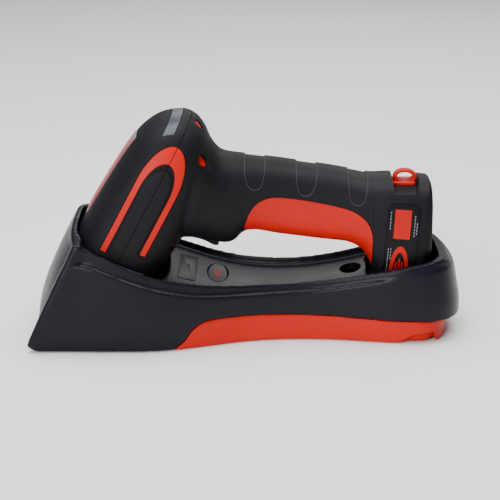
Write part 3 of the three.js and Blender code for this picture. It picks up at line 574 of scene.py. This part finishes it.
bezel = copy_of(master, "bezel_skin")
keep_side(bezel, in_head(SHELL_FRONT + GAP, 0, 0), -AIM)
funnel_rows = [(100, 28.5, 19, 15.5), (116.4, 28.5, 19, 15.5), (124, 32, 22.4, 18.8)]
combine(bezel, head_loft("funnel", funnel_rows, 64))
combine(bezel, head_loft("seat", [(100, 32, 22.2, 18.6), (115, 32, 22.2, 18.6)]))
piece(bezel, "window_bezel", "scanner", "rubber_black", ["nose_bezel"])
window = head_loft("window", [(112.6, 30.3, 20.5, 16.9), (114.5, 30.3, 20.5, 16.9)])
modify(window, "BEVEL", width=0.4 * MM, segments=2, limit_method="ANGLE", angle_limit=math.radians(50))
piece(window, "scan_window", "scanner", "window_glass", ["nose_window"])

# %% [markdown]
# The cap that closes the handle holds the battery. It is the last slice of the master, with a
# saddle for the orange lanyard loop and a sunk place for the label on each side.

# %% Handle end cap
cap = copy_of(master, "cap_skin")
keep_side(cap, ((SEAM_X + 0.08) * MM, 0, 0), (-1, 0, 0))
cap_room = copy_of(hollow, "cap_room")
combine(cap_room, slab("loop_bed", rectangle(82.6, 102.6, 84, 120), -60, 60))
combine(cap, cap_room)
LABEL_LEAN = 0.07
label_place = Matrix.Translation((0.0903, 0, 0.0585)) @ Matrix.Rotation(LABEL_LEAN, 4, "Y")


def label_slab(name, w0, w1, h0, h1, radius):
    outline = rounded(w0, w1, h0, h1, radius)
    return gather([slab("side", outline, sign * 8, sign * 60, "y", label_place) for sign in (1, -1)], name)


combine(cap, groove(label_slab("label_cut", -9.5, 9.5, -23.8, 23.8, 5.3), 1.3))
notch_line = [(84.2, 110), (85.8, 85), (97.8, 85), (101, 92.8), (101, 110)]
notch = slab("loop_notch", notch_line, -60, 60)
notch_floor = [(-60, 110), (-60, 87), (-19, 87), (-8.3, 89), (8.3, 89), (19, 87), (60, 87), (60, 110)]
combine(notch, slab("notch_floor", notch_floor, 80, 105, "x"), "INTERSECT")
combine(cap, notch)
combine(cap, slab("pad_room", rectangle(84, 100, 20, 34.5), -9.6, 9.6))
combine(cap, slab("screw_room", arc(0, 70, 3, 3, 0, 350, 35), 104, 120, "x"))
piece(cap, "handle_cap", "scanner", "rubber_black", ["handle_end_cap"])

# %% [markdown]
# Each side of the cap has a sunk black plate with a blank sticker, a plain arch with three bars, and
# rows of short dashes in place of small print. All are layers between two depths of the master.
# They are drawn once for both sides and then parted down the middle.

# %% Label plates with a blank sticker and a plain arch mark
label = layer(label_slab("label", -9.2, 9.2, -23.5, 23.5, 5), 0.5, 1.3)
sticker = layer(label_slab("sticker", -5.3, 4.3, 2.8, 20.2, 0.6), 0.25, 0.5)
FOOT = -21.6
mark_arch = [*arc(-0.4, -17, 5.6, 15.4, 180, 0, 30), (5.2, FOOT), (3, FOOT),
             *arc(-0.4, -17, 3.4, 11.4, 0, 180, 20), (-3.8, FOOT), (-6, FOOT)]
mark_bars = [rectangle(w - 0.5, w + 0.5, FOOT, top) for w, top in ((-2.1, -11.5), (-0.4, -9.5), (1.3, -11.5))]
mark = gather([slab("mark", outline, sign * 8, sign * 60, "y", label_place)
               for sign in (1, -1) for outline in (mark_arch, *mark_bars)], "mark")
mark = layer(mark, 0.25, 0.5)
# Each row of dashes: its place across the label, and where it starts and ends along it.
DASH_ROWS = [(-7.6, 8, 19.6), (6.6, 4.5, 19), (-7.4, -18, -1.6), (-6.0, -10, -2.4), (8.0, 6, 15)]
DASH, PITCH, HALF_DASH = 1.3, 1.9, 0.22
lines = []
for w, low, high in DASH_ROWS:
    for k in range(int((high - low) / PITCH)):
        start = low + k * PITCH
        lines.append(label_slab("dash", w - HALF_DASH, w + HALF_DASH, start, start + DASH, 0.05))
lines = layer(gather(lines, "lines"), 0.25, 0.5)
for both, name, finish in ((label, "label_plate", "label_black"), (sticker, "blank_sticker", "housing_red"),
                           (mark, "arch_mark", "housing_red"), (lines, "fine_lines", "nameplate_silver")):
    for side, sign in (("left", 1), ("right", -1)):
        one = copy_of(both, name)
        keep_side(one, (0, 0, 0), (0, -sign, 0))
        replaced = [f"label_plate_{side}"] if name == "label_plate" else []
        piece(one, f"{name}_of_{side}_side", "scanner", finish, replaced)
    discard(both)

# %% [markdown]
# The loop for the lanyard is one orange moulding: a low foot that follows the cap, and a hoop with an
# oval eye. The hoop is an outline given a thickness, and a bevel rounds it before the two are joined.

# %% Lanyard loop
saddle_line = [(84.5, 110), (85.7, 89.3), (97.9, 89.3), (100.7, 93), (100.7, 110)]
loop = slab("loop_saddle", saddle_line, -8, 8)
combine(loop, cores[0.25], "INTERSECT", keep_tool=True)
combine(loop, slab("above", rectangle(80, 110, 90.7, 120), -60, 60))
arch_line = [(86.5, 89.6), (86.2, 92.5), *bezier((86.2, 92.5), (86.6, 96), (89.6, 97.5), (93, 97.5), 12),
             *bezier((93, 97.5), (96.6, 97.5), (99.6, 96), (100.6, 92.6), 12), (98.6, 89.6)]
hoop = slab("hoop", arch_line, -3.1, 3.1)
combine(hoop, slab("eye", arc(93.1, 93.2, 4.6, 2.55, 0, 351, 39), -9, 9))
modify(hoop, "BEVEL", width=0.7 * MM, segments=3, limit_method="ANGLE", angle_limit=math.radians(50))
combine(loop, hoop, "UNION")
piece(loop, "lanyard_hoop", "scanner", "housing_red", ["lanyard_loop"])

# %% [markdown]
# The trigger is a curved blade hung on a pin under the head. It is drawn from the side, given
# its width, and its long edges are rounded with a bevel so that a finger finds no sharp edge.

# %% Trigger blade
def curve(p0, p1, p2, steps=8):
    """A simple bend towards its last point, without its first."""
    shares = [i / steps for i in range(1, steps + 1)]
    return [tuple((1 - t) ** 2 * a + 2 * t * (1 - t) * b + t * t * c for a, b, c in zip(p0, p1, p2))
            for t in shares]


PIVOT = (-30.2, 59.2)
blade_line = [(-31.4, 57), *curve((-31.4, 57), (-27, 56.6), (-22, 53.7)),
              *curve((-22, 53.7), (-18.9, 51.8), (-17.2, 52.6)),
              *curve((-17.2, 52.6), (-16.5, 53.4), (-16.7, 54.4), 4), (-17.2, 59.4), (-20, 60.6), (-29, 61.6),
              *arc(*PIVOT, 2.4, 2.4, 90, 180, 8)]
blade = slab("blade", blade_line, -8, 8)
combine(blade, slab("bore", arc(*PIVOT, 1.05, 1.05, 0, 345, 23), -20, 20))
modify(blade, "BEVEL", width=0.8 * MM, segments=4, limit_method="ANGLE", angle_limit=math.radians(60))
piece(blade, "trigger_blade_skin", "trigger_blade", "rubber_black", ["trigger"])
print("scanner pieces", len(pieces))

# %% [markdown]
# The cradle is a deep tray. Its outside is drawn as level outlines, like the contour lines of a
# map: the nose wall bows out in front, the sides follow the rim, and the tail is rounded. All
# the hollows are then cut out, and a remesh rounds every moulded edge in the same soft way.

# %% Cradle outline
RIM = [
    (-97, 63.5, 46.6), (-84, 57.2, 47.1), (-68, 49.9, 47), (-54, 44.9, 46), (-42, 41.6, 43.5),
    (-31, 38.9, 39.8), (-20, 36.8, 35.6), (-9, 35.4, 31.5), (3, 34.6, 27.9), (17, 34.4, 25.5),
    (35, 35.5, 24.6), (53, 37.8, 25.5), (70, 40.9, 27.4), (88, 44.7, 29), (104, 48, 28.8), (114, 50, 27),
]
LEVELS = [
    (0.3, 1.6, 125.4, -122, -117), (3.6, 0.8, 126.4, -127.6, -119), (14, 0, 127.6, -123.7, -121.2),
    (22, 0, 127.4, -119.8, -122.8), (30, 0.6, 126, -115.9, -121), (44, 2, 123.4, -109.1, -115.4),
    (62, 4.2, 120.4, -100.3, -106.6), (69, 4.6, 119.8, -98.5, -102.6), (77, 5, 119, -97.3, -99.4),
]
rim_at = smooth_table(RIM)
level_at = smooth_table(LEVELS)
TAIL_START = 101
DECK_DROP = 5
DECK_CROWN = 1.8


def belly_half(x):
    return rim_at(x)[1] + 4.8 + 2.4 * ease(x, 40, 98)


def level_outline(z, inset=0.0, step=0.0, rear=None, fine=1):
    """One contour of the cradle: inset all round, and step more along the sides."""
    side_inset, rear_end, cheek, middle = level_at(z)
    rear_end = rear or rear_end
    front = cheek + inset
    count = int(60 * fine)
    side = []
    for i in range(count + 1):
        v = (i / count) ** 1.25
        x = front + v * (TAIL_START - front)
        thin = step * (1 - ease(x, 70, 92)) + 0.5 * step * ease(x, 95, 99)
        corner = 0.8 * max(0, 1 - (x - front) / 2.6) ** 2
        side.append((x, belly_half(x) - side_inset - inset - thin * ease(x - front, 4, 9) - corner))
    end_half = side[-1][1]
    turns = [math.pi / 2 * i / int(20 * fine) for i in range(1, int(20 * fine))]
    tail = [(TAIL_START + (rear_end - inset - TAIL_START) * math.sin(a) ** (2 / 2.4),
             end_half * math.cos(a) ** (2 / 2.4)) for a in turns]
    shares = [1 - i / int(16 * fine) for i in range(1, int(16 * fine))]
    lip = 0.9 if inset == 0 else 0.0
    nose_depth = middle + inset - front - lip
    nose = [(front + lip + nose_depth * (1 - k**2.4), k * (side[0][1] - 1.2)) for k in shares]
    half = [*reversed(nose), *side, *tail]
    full = [(middle + inset, 0), *half, (rear_end - inset, 0), *[(x, -y) for x, y in reversed(half)]]
    return [(x, y, z) for x, y in full]


def cradle_skin(name, levels, inset=0.0, step=0.0, rear=None, fine=1):
    rears = rear or [None] * len(levels)
    return skin(name, [level_outline(z, inset, step, r, fine) for z, r in zip(levels, rears)])


def deck_z(x):
    return rim_at(x)[0] - DECK_DROP


# %% [markdown]
# The body is the stack of level outlines, trimmed by its side view, and the nose wall is trimmed to
# an arch seen from the front. Below a line along the side the body is a little fuller. That step is
# two bodies joined: a full one kept below the line, and a thinner one that runs all the way up.

# %% Outer body with the raised side panels
LEVEL_ROWS = [0.6, 1.2, 2, 2.8, 3.6, 5, 7, 10, 14, 18, 22, 26, 30, 36, 44, 52, 62, 70, 76]
BASE_LINE = [(-43, 0.6), (-36.5, 5.6), (-33.4, 10), (-28.6, 14.4), (-22, 16.6), (-6, 17), (20, 16.6),
             (50, 15.6), (92, 14), (116, 13.6)]
PANEL_LINE = [(-140, 30), (-106.6, 44), (-104.4, 47.6), (-102.2, 50.2), (-99, 51.8), (-95, 52.1),
              (-89.6, 50.9), (-77.3, 46), (-63.2, 40.6), (-49.1, 36.3), (-30.2, 31.9),
              (-15.7, 30.2), (3.7, 29.4), (20, 29.8), (35, 30.6), (48.5, 31.9),
              (67.8, 35.7), (82.1, 38.8), (94.6, 41.6), (108, 43.6), (124, 44), (140, 44)]


def smooth_line(points, per=5):
    """A flowing line through points, rounded at each of them."""
    out = []
    for i in range(len(points) - 1):
        p = [Vector(points[min(max(i + k, 0), len(points) - 1)]) for k in (-1, 0, 1, 2)]
        for n in range(per):
            t = n / per
            a = 2 * p[1] + (p[2] - p[0]) * t + (2 * p[0] - 5 * p[1] + 4 * p[2] - p[3]) * t * t
            out.append(tuple((a + (3 * p[1] - p[0] - 3 * p[2] + p[3]) * t**3) * 0.5))
    return [*out, tuple(points[-1])]


rim_line = [(x, rim_at(x)[0]) for x in range(-95, 114, 4)] + [(114, 50)]
side_view = [(-140, 0.6), *smooth_line(BASE_LINE), (140, 13), (140, 34), (124.6, 41.6), (119, 46.8),
             *reversed(rim_line), (-95, 74.6), (-95.6, 75), (-140, 75)]
shell = cradle_skin("cradle_body", LEVEL_ROWS)
combine(shell, slab("below_line", [(-140, -5), *smooth_line(PANEL_LINE), (140, -5)], -80, 80), "INTERSECT")
combine(shell, cradle_skin("thin_body", LEVEL_ROWS, 0, 1.9), "UNION")
combine(shell, slab("side_view", side_view, -80, 80), "INTERSECT")
WALL_ARCH = smooth_line([(0, 71.2), (12, 70.8), (22, 69), (30, 67.4), (38, 65.6), (46, 63.6), (60, 62)])
arch_room = [(60, 90), (-60, 90), *[(-y, z) for y, z in reversed(WALL_ARCH[1:])], *WALL_ARCH]
combine(shell, slab("above_wall", arch_room, -140, -95, "x"))
print("cradle body faces", len(shell.data.polygons))

# %% [markdown]
# Three rooms are cut out of the body: the long trough of the deck, the leaning cup for the head, and
# the upright cup for the handle's end. After that a voxel remesh and a few rounds of smoothing round
# all the edges at once, which a bevel can't do on so many crossing curves.

# %% Hollows: the deck between the rims, the nose cup and the cup for the handle's end
REAR_FLOOR = 26.6


def deck_ring(x, drop=0.0):
    half, z = rim_at(x)[1], deck_z(x) - drop
    floor = [(half * k, z + DECK_CROWN * (1 - k * k)) for k in [i / 10 for i in range(-10, 11)]]
    return [(x, -half, 120), *[(x, y, up) for y, up in floor], (x, half, 120)]


def aim_pocket(name, grow, count=64):
    """The room for the scanner's head, grown all round by a margin."""
    rows = [(122.6 + grow, 43, 29.4, 27.5), (116 + grow, 44.4, 30, 29.4), (90, 45.4, 30.2, 30.4),
            (-30, 45.4, 30.2, 30.4)]
    return head_loft(name, [(s, *[v + grow for v in sizes]) for s, *sizes in rows], count, 3.4)


def handle_pocket(name, grow, count=64):
    """The room for the end of the handle, from rows of (height, front, rear, half width)."""
    rows = [(REAR_FLOOR - grow, 72.5, 107, 26.6), (34, 71.5, 110.4, 27.4), (44, 71.5, 112.8, 28),
            (60, 71.5, 113.2, 28), (120, 71.5, 113.2, 28)]
    rings = []
    for z, x0, x1, half in rows:
        middle, reach = (x0 + x1) / 2, (x1 - x0) / 2 + grow
        rings.append([(middle + a * reach, b * (half + grow), z) for a, b in section(count, 4.5)])
    return skin(name, rings)


combine(shell, skin("trough", [deck_ring(x) for x in (-59, -52, *range(-48, 76, 4), 77.5)]))
combine(shell, aim_pocket("nose_pocket", 0))
combine(shell, handle_pocket("handle_cup", 0))
modify(shell, "REMESH", mode="VOXEL", voxel_size=0.86 * MM, adaptivity=0)
modify(shell, "SMOOTH", factor=0.5, iterations=7)
print("cradle shell faces", len(shell.data.polygons))

# %% [markdown]
# A moulded tray is hollow underneath. The inside follows the outside one wall further in, and leaves
# the walls of the two cups standing. Then the wells and holes of the deck are cut, each on a frame
# that is turned to the deck's slope.

# %% The inside of the cradle, and the openings in its deck
under = [(x, rim_at(x)[0] - 9 if x < -47 else deck_z(x) - WALL) for x, _, _ in RIM if x < 110]
inside_line = [(-140, -10), (-140, 2.8), (-115, 2.8), (-115, 30), *under, (112, 36), (121, 30), (122, -10)]
inside = cradle_skin("inside", [0.3, 22, 44, 76], WALL, 0, None, 0.4)
combine(inside, slab("inside_line", inside_line, -80, 80), "INTERSECT")
combine(inside, aim_pocket("cup_wall", WALL - 0.4, 24))
combine(inside, handle_pocket("cup_wall", WALL - 0.4, 24))
combine(shell, inside)


def on_deck(x):
    """The place on the deck at x, turned to the deck's slope."""
    slope = math.atan2(rim_at(x + 6)[0] - rim_at(x - 6)[0], 12)
    return Matrix.Translation(Vector((x, 0, deck_z(x) + DECK_CROWN)) * MM) @ Matrix.Rotation(-slope, 4, "Y")


BUTTON_X, TABLET_X, HOLE_X = -17.6, -35.6, 62
deck_cuts = [
    slab("button_well", arc(0, 0, 6.6, 18.5, 0, 354, 59), -6, 6, "z", on_deck(BUTTON_X)),
    slab("tablet_seat", rounded(-5.5, 5.5, -23.8, 23.8, 0.8, 4), -1.2, 6, "z", on_deck(TABLET_X)),
    slab("fixing_hole", arc(0, 0, 6.6, 9.6, 0, 354, 59), -8, 8, "z", on_deck(HOLE_X)),
]
CONTACTS = [-6.6, -2.2, 2.2, 6.6]
for y in CONTACTS:
    deck_cuts.append(slab("contact_hole", arc(91, y, 1.5, 1.5, 0, 345, 23), 20, 28, "z"))
combine(shell, gather(deck_cuts, "deck_cuts"))
piece(shell, "cradle_body_shell", "cradle", "shell_black", ["cradle_shell"])

# %% [markdown]
# Under the black shell runs an orange skirt. It follows the same outline a little further in, so
# that the shell overhangs it, and it has a finger scoop on each side near the tail.

# %% Orange base skirt
def base_rear(z):
    return 119.6 + (122.2 - 119.6) * min(max(z - 0.5, 0) / 21.5, 1)


def skirt_ring(z, like, inset, rear, fine=1):
    """A level ring at one height, with the outline that the cradle has at another."""
    return [(x, y, z) for x, y, _ in level_outline(like, inset, 0, rear, fine)]


LOWEST_LIKE = 3.6
SKIRT_HEIGHTS = [0.5, 1, 2, 4, 7, 10, 14, 18, 22]
base = skin("base_body", [skirt_ring(z, max(z, LOWEST_LIKE), 0.8, base_rear(z)) for z in SKIRT_HEIGHTS])
base_line = smooth_line([(x + (GAP if x < -22 else 0), z - GAP) for x, z in BASE_LINE])
combine(base, slab("base_view", [(-42.4, 0.5), *base_line[1:], (140, 13), (140, 0.5)], -80, 80), "INTERSECT")
SCOOP_LINE = [(89, -2), (92, 1.4), (95, 3.8), (98.5, 5.2), (102, 5.6), (108.6, 6.4), (110.4, 5.6)]
scoop_line = smooth_line(SCOOP_LINE, 3)
scoop = slab("scoop", [*scoop_line, (111.4, -2)], -80, 80)
scoop_rings = [skirt_ring(z, max(z, LOWEST_LIKE), 3.0 + 0.16 * (8 - z), base_rear(z) - 1, 0.5) for z in (-1, 8)]
combine(scoop, skin("scoop_back", scoop_rings))
combine(base, scoop)
modify(base, "REMESH", mode="VOXEL", voxel_size=0.75 * MM, adaptivity=0)
modify(base, "SMOOTH", factor=0.5, iterations=3)
combine(base, skin("base_room", [skirt_ring(z, 14, 5.4, 121.6, 0.5) for z in (-2, 24)]))
combine(base, slab("cable_way", rectangle(105, 140, -1, 7.4), -4.4, 4.4))
piece(base, "base_skirt", "cradle", "housing_red", ["cradle_base"])
print("base faces", len(base.data.polygons))

# %% [markdown]
# Two fittings sit in the deck: a thin square cover with a small dimple, and the long oval paging
# button. The cover is a plain outline given its thickness, and a bevel softens its edge; the button is a
# stack of oval rings whose sizes round its top.

# %% Deck cover and paging button
tablet = slab("tablet", rounded(-5.2, 5.2, -23.5, 23.5, 0.7, 4), -1.1, -0.3, "z", on_deck(TABLET_X))
combine(tablet, slab("dimple", arc(0.4, 3, 0.7, 1.7, 0, 345, 23), -0.7, 3, "z", on_deck(TABLET_X)))
modify(tablet, "BEVEL", width=0.25 * MM, segments=2, limit_method="ANGLE", angle_limit=math.radians(60))
piece(tablet, "deck_cover", "cradle", "shell_black", ["deck_tablet"])
BUTTON_ROWS = [(-3.4, 6.1), (-0.9, 6.1), (-0.6, 5.95), (-0.4, 5.6), (-0.35, 5.2), (-0.75, 4.0), (-0.95, 2.0)]
BUTTON_LONGER = 11.9
round_line = [(math.cos(a), math.sin(a)) for a in [2 * math.pi * i / 72 for i in range(72)]]
button_rings = [[(x * r, y * (r + BUTTON_LONGER), z) for x, y in round_line] for z, r in BUTTON_ROWS]
button = skin("button", button_rings)
button.data.transform(on_deck(BUTTON_X))
piece(button, "paging_button", "button", "shell_black", ["page_button"], 50)
bars = []
for x in (-1.6, 0, 1.6):
    half = 8.5 - abs(x) * 1.5
    outline = rounded(x - 0.5, x + 0.5, -half, half, 0.4, 4)
    bars.append(slab("bar", outline, -0.93, -0.6, "z", on_deck(BUTTON_X)))
piece(gather(bars, "bars"), "button_mark", "button", "housing_red")

# %% [markdown]
# ## Finishes
# A moulded plastic is never one flat colour. Its colour drifts a little, fine spark-erosion grain
# breaks up the gloss, and long use leaves faint smoother patches. One recipe with different
# numbers gives the rubber, the cradle's plastic and the orange parts their own look.

# %% Plastic recipe
def new_material(name):
    material = bpy.data.materials.new(name)
    material.use_nodes = True
    return material, material.node_tree, material.node_tree.nodes["Principled BSDF"]


def linear(rgb):
    return tuple((c / 255 / 12.92) if c / 255 <= 0.04045 else ((c / 255 + 0.055) / 1.055) ** 2.4 for c in rgb)


def noise(tree, scale, detail=3.0, rough=0.55, stretch=None):
    coords = tree.nodes.new("ShaderNodeTexCoord")
    texture = tree.nodes.new("ShaderNodeTexNoise")
    texture.inputs["Scale"].default_value = scale
    texture.inputs["Detail"].default_value = detail
    texture.inputs["Roughness"].default_value = rough
    if stretch:
        mapping = tree.nodes.new("ShaderNodeMapping")
        mapping.inputs["Scale"].default_value = stretch
        tree.links.new(coords.outputs["Object"], mapping.inputs["Vector"])
        tree.links.new(mapping.outputs["Vector"], texture.inputs["Vector"])
    else:
        tree.links.new(coords.outputs["Object"], texture.inputs["Vector"])
    return texture.outputs["Fac"]


def ramp(tree, value, stops):
    node = tree.nodes.new("ShaderNodeValToRGB")
    node.color_ramp.elements[0].position = stops[0][0]
    node.color_ramp.elements[1].position = stops[-1][0]
    node.color_ramp.elements[0].color = (*stops[0][1], 1)
    node.color_ramp.elements[1].color = (*stops[-1][1], 1)
    for position, colour in stops[1:-1]:
        node.color_ramp.elements.new(position).color = (*colour, 1)
    tree.links.new(value, node.inputs["Fac"])
    return node.outputs["Color"]


def spread(tree, value, low, high, at=(0.3, 0.7)):
    node = tree.nodes.new("ShaderNodeMapRange")
    for key, number in (("From Min", at[0]), ("From Max", at[1]), ("To Min", low), ("To Max", high)):
        node.inputs[key].default_value = number
    tree.links.new(value, node.inputs["Value"])
    return node.outputs["Result"]


def bump(tree, shader, layers):
    """Bumps one on another: each layer is a height value, a strength and a depth in metres."""
    normal = None
    for value, strength, depth in layers:
        node = tree.nodes.new("ShaderNodeBump")
        node.inputs["Strength"].default_value = strength
        node.inputs["Distance"].default_value = depth
        tree.links.new(value, node.inputs["Height"])
        if normal:
            tree.links.new(normal, node.inputs["Normal"])
        normal = node.outputs["Normal"]
    tree.links.new(normal, shader.inputs["Normal"])


def plastic(name, dark, light, rough, grain, grain_depth, drift, speck, coat=0.0, specular=0.5):
    """Moulded plastic: two near colours, roughness range, grain, drift of the colour, specks, coat, gloss."""
    material, tree, shader = new_material(name)
    wide = noise(tree, drift, 4)
    fine = noise(tree, grain, 2, 0.6)
    base = ramp(tree, wide, [(0.35, linear(dark)), (0.65, linear(light))])
    mix = tree.nodes.new("ShaderNodeMix")
    mix.data_type = "RGBA"
    mix.blend_type = "MULTIPLY"
    mix.inputs["Factor"].default_value = 1.0
    tree.links.new(base, mix.inputs["A"])
    specks = ramp(tree, fine, [(0.35, (1 - speck,) * 3), (0.62, (1, 1, 1)), (0.75, (1 + speck,) * 3)])
    tree.links.new(specks, mix.inputs["B"])
    tree.links.new(mix.outputs["Result"], shader.inputs["Base Color"])
    tree.links.new(spread(tree, noise(tree, drift * 4, 5), rough[0], rough[1]), shader.inputs["Roughness"])
    shader.inputs["Coat Weight"].default_value = coat
    shader.inputs["Specular IOR Level"].default_value = specular
    bump(tree, shader, [(fine, 0.5, grain_depth), (noise(tree, 60, 3), 0.12, 0.0003)])
    return material


def metal(name, colour, rough, brush=(1, 1, 1), grain=900):
    material, tree, shader = new_material(name)
    fine = noise(tree, grain, 3, 0.6, brush)
    shade = [c * 0.82 for c in linear(colour)]
    base = ramp(tree, noise(tree, 90, 4), [(0.3, shade), (0.7, linear(colour))])
    tree.links.new(base, shader.inputs["Base Color"])
    shader.inputs["Metallic"].default_value = 1.0
    tree.links.new(spread(tree, fine, rough - 0.08, rough + 0.12), shader.inputs["Roughness"])
    bump(tree, shader, [(fine, 0.4, 0.00003)])
    return material


def glass(name, colour, rough, alpha):
    material, tree, shader = new_material(name)
    smear = noise(tree, 45, 4, 0.6)
    base = ramp(tree, smear, [(0.3, [c * 0.8 for c in linear(colour)]), (0.7, linear(colour))])
    tree.links.new(base, shader.inputs["Base Color"])
    tree.links.new(spread(tree, smear, rough, rough + 0.08), shader.inputs["Roughness"])
    shader.inputs["Alpha"].default_value = alpha
    shader.inputs["Coat Weight"].default_value = 0.6
    bump(tree, shader, [(smear, 0.05, 0.0001)])
    return material


def board(name):
    material, tree, shader = new_material(name)
    tracks = tree.nodes.new("ShaderNodeTexBrick")
    coords = tree.nodes.new("ShaderNodeTexCoord")
    tree.links.new(coords.outputs["Object"], tracks.inputs["Vector"])
    tracks.inputs["Scale"].default_value = 180
    tracks.inputs["Mortar Size"].default_value = 0.03
    tracks.inputs["Color1"].default_value = (0.012, 0.11, 0.04, 1)
    tracks.inputs["Color2"].default_value = (0.01, 0.085, 0.032, 1)
    tracks.inputs["Mortar"].default_value = (0.03, 0.2, 0.08, 1)
    tree.links.new(tracks.outputs["Color"], shader.inputs["Base Color"])
    tree.links.new(spread(tree, noise(tree, 300), 0.3, 0.5), shader.inputs["Roughness"])
    bump(tree, shader, [(tracks.outputs["Fac"], 0.3, 0.00005)])
    return material


# %% [markdown]
# Every finish that the object uses gets one material, and each piece takes it by its slot's name. The
# pieces inside that keep their first mesh are given their finish in the same way.

# %% One material for each slot of the record
MATERIALS = {
    "rubber_black": plastic("rubber_black", (17, 17, 21), (22, 22, 27),
                            (0.5, 0.64), 1500, 0.00012, 12, 0.25, 0, 0.15),
    "shell_black": plastic("shell_black", (15, 15, 23), (19, 19, 28),
                           (0.3, 0.4), 2600, 0.00005, 10, 0.12, 0, 0.17),
    "housing_red": plastic("housing_red", (186, 16, 4), (197, 21, 5),
                           (0.42, 0.55), 2400, 0.00006, 16, 0.08, 0, 0.2),
    "label_black": plastic("label_black", (15, 15, 18), (19, 19, 23),
                           (0.4, 0.5), 3000, 0.00002, 30, 0.08, 0, 0.15),
    "light_pipe": plastic("light_pipe", (46, 50, 58), (66, 70, 78),
                          (0.3, 0.42), 2600, 0.00002, 60, 0.05, 0.05, 0.3),
    "window_glass": glass("window_glass", (46, 20, 24), 0.05, 0.55),
    "lens_glass": glass("lens_glass", (90, 104, 120), 0.06, 0.9),
    # This lighter grey also colours the saddle strips, where it is a painted highlight on the step edges.
    "seal_rubber": plastic("seal_rubber", (40, 40, 44), (50, 50, 54),
                           (0.7, 0.85), 1200, 0.0001, 25, 0.2),
    "circuit_board": board("circuit_board"),
    "module_metal": metal("module_metal", (175, 177, 180), 0.35, (1, 6, 1)),
    "screw_steel": metal("screw_steel", (150, 152, 156), 0.3),
    "contact_gold": metal("contact_gold", (222, 178, 82), 0.22),
    "cell_wrap": plastic("cell_wrap", (58, 102, 160), (70, 118, 176),
                         (0.25, 0.4), 1800, 0.00003, 40, 0.05, 0.3),
    "nameplate_silver": plastic("nameplate_silver", (118, 120, 126), (136, 138, 144),
                                (0.25, 0.4), 3000, 0.00002, 50, 0.06, 0.2),
}
node_slots = {row["node"]: row["material_slot"] for row in frame["record"]["subparts"]}
for node, obj in frame["nodes"].items():
    obj.data.materials.clear()
    obj.data.materials.append(MATERIALS[node_slots[node]])
for name, (obj, slot) in pieces.items():
    obj.data.materials.clear()
    obj.data.materials.append(MATERIALS[slot])
    for polygon in obj.data.polygons:
        polygon.material_index = 0

# %% [markdown]
# The master, the hollow and the taken-in copies were only tools. They go now, so that nothing but
# finished pieces is left in the scene.

# %% Clear the workshop
discard(master)
discard(hollow)
for core in cores.values():
    discard(core)
print("pieces", len(pieces), "faces", sum(len(obj.data.polygons) for obj, _ in pieces.values()))

# %% [markdown]
# The object stands on a pale floor under large soft lamps: a broad one above, a weaker one from
# the camera's side, and one behind that draws a thin line of light along the rims.

# %% Floor and lights
bpy.ops.mesh.primitive_plane_add(size=8)
floor = bpy.context.object
floor.name = "floor"
material, tree, shader = new_material("studio_floor")
paint = ramp(tree, noise(tree, 3, 3), [(0.3, (0.9, 0.9, 0.9)), (0.7, (0.93, 0.93, 0.93))])
tree.links.new(paint, shader.inputs["Base Color"])
shader.inputs["Roughness"].default_value = 0.9
floor.data.materials.append(material)

world = bpy.data.worlds.new("studio")
bpy.context.scene.world = world
world.use_nodes = True
world.node_tree.nodes["Background"].inputs["Color"].default_value = (1, 1, 1, 1)
world.node_tree.nodes["Background"].inputs["Strength"].default_value = 0.22


def lamp(name, place, power, size, towards=(0, 0, 0.05)):
    bpy.ops.object.light_add(type="AREA", location=place)
    light = bpy.context.object
    light.name = name
    light.data.energy = power
    light.data.shape = "RECTANGLE"
    light.data.size, light.data.size_y = size
    light.rotation_euler = (Vector(towards) - Vector(place)).to_track_quat("-Z", "Y").to_euler()


lamp("above", (0.0, 0.1, 1.2), 28, (1.4, 1.0))
lamp("front", (-0.6, -1.3, 0.6), 20, (0.9, 0.7))
lamp("behind", (0.3, 1.2, 0.7), 3.5, (1.2, 0.5))
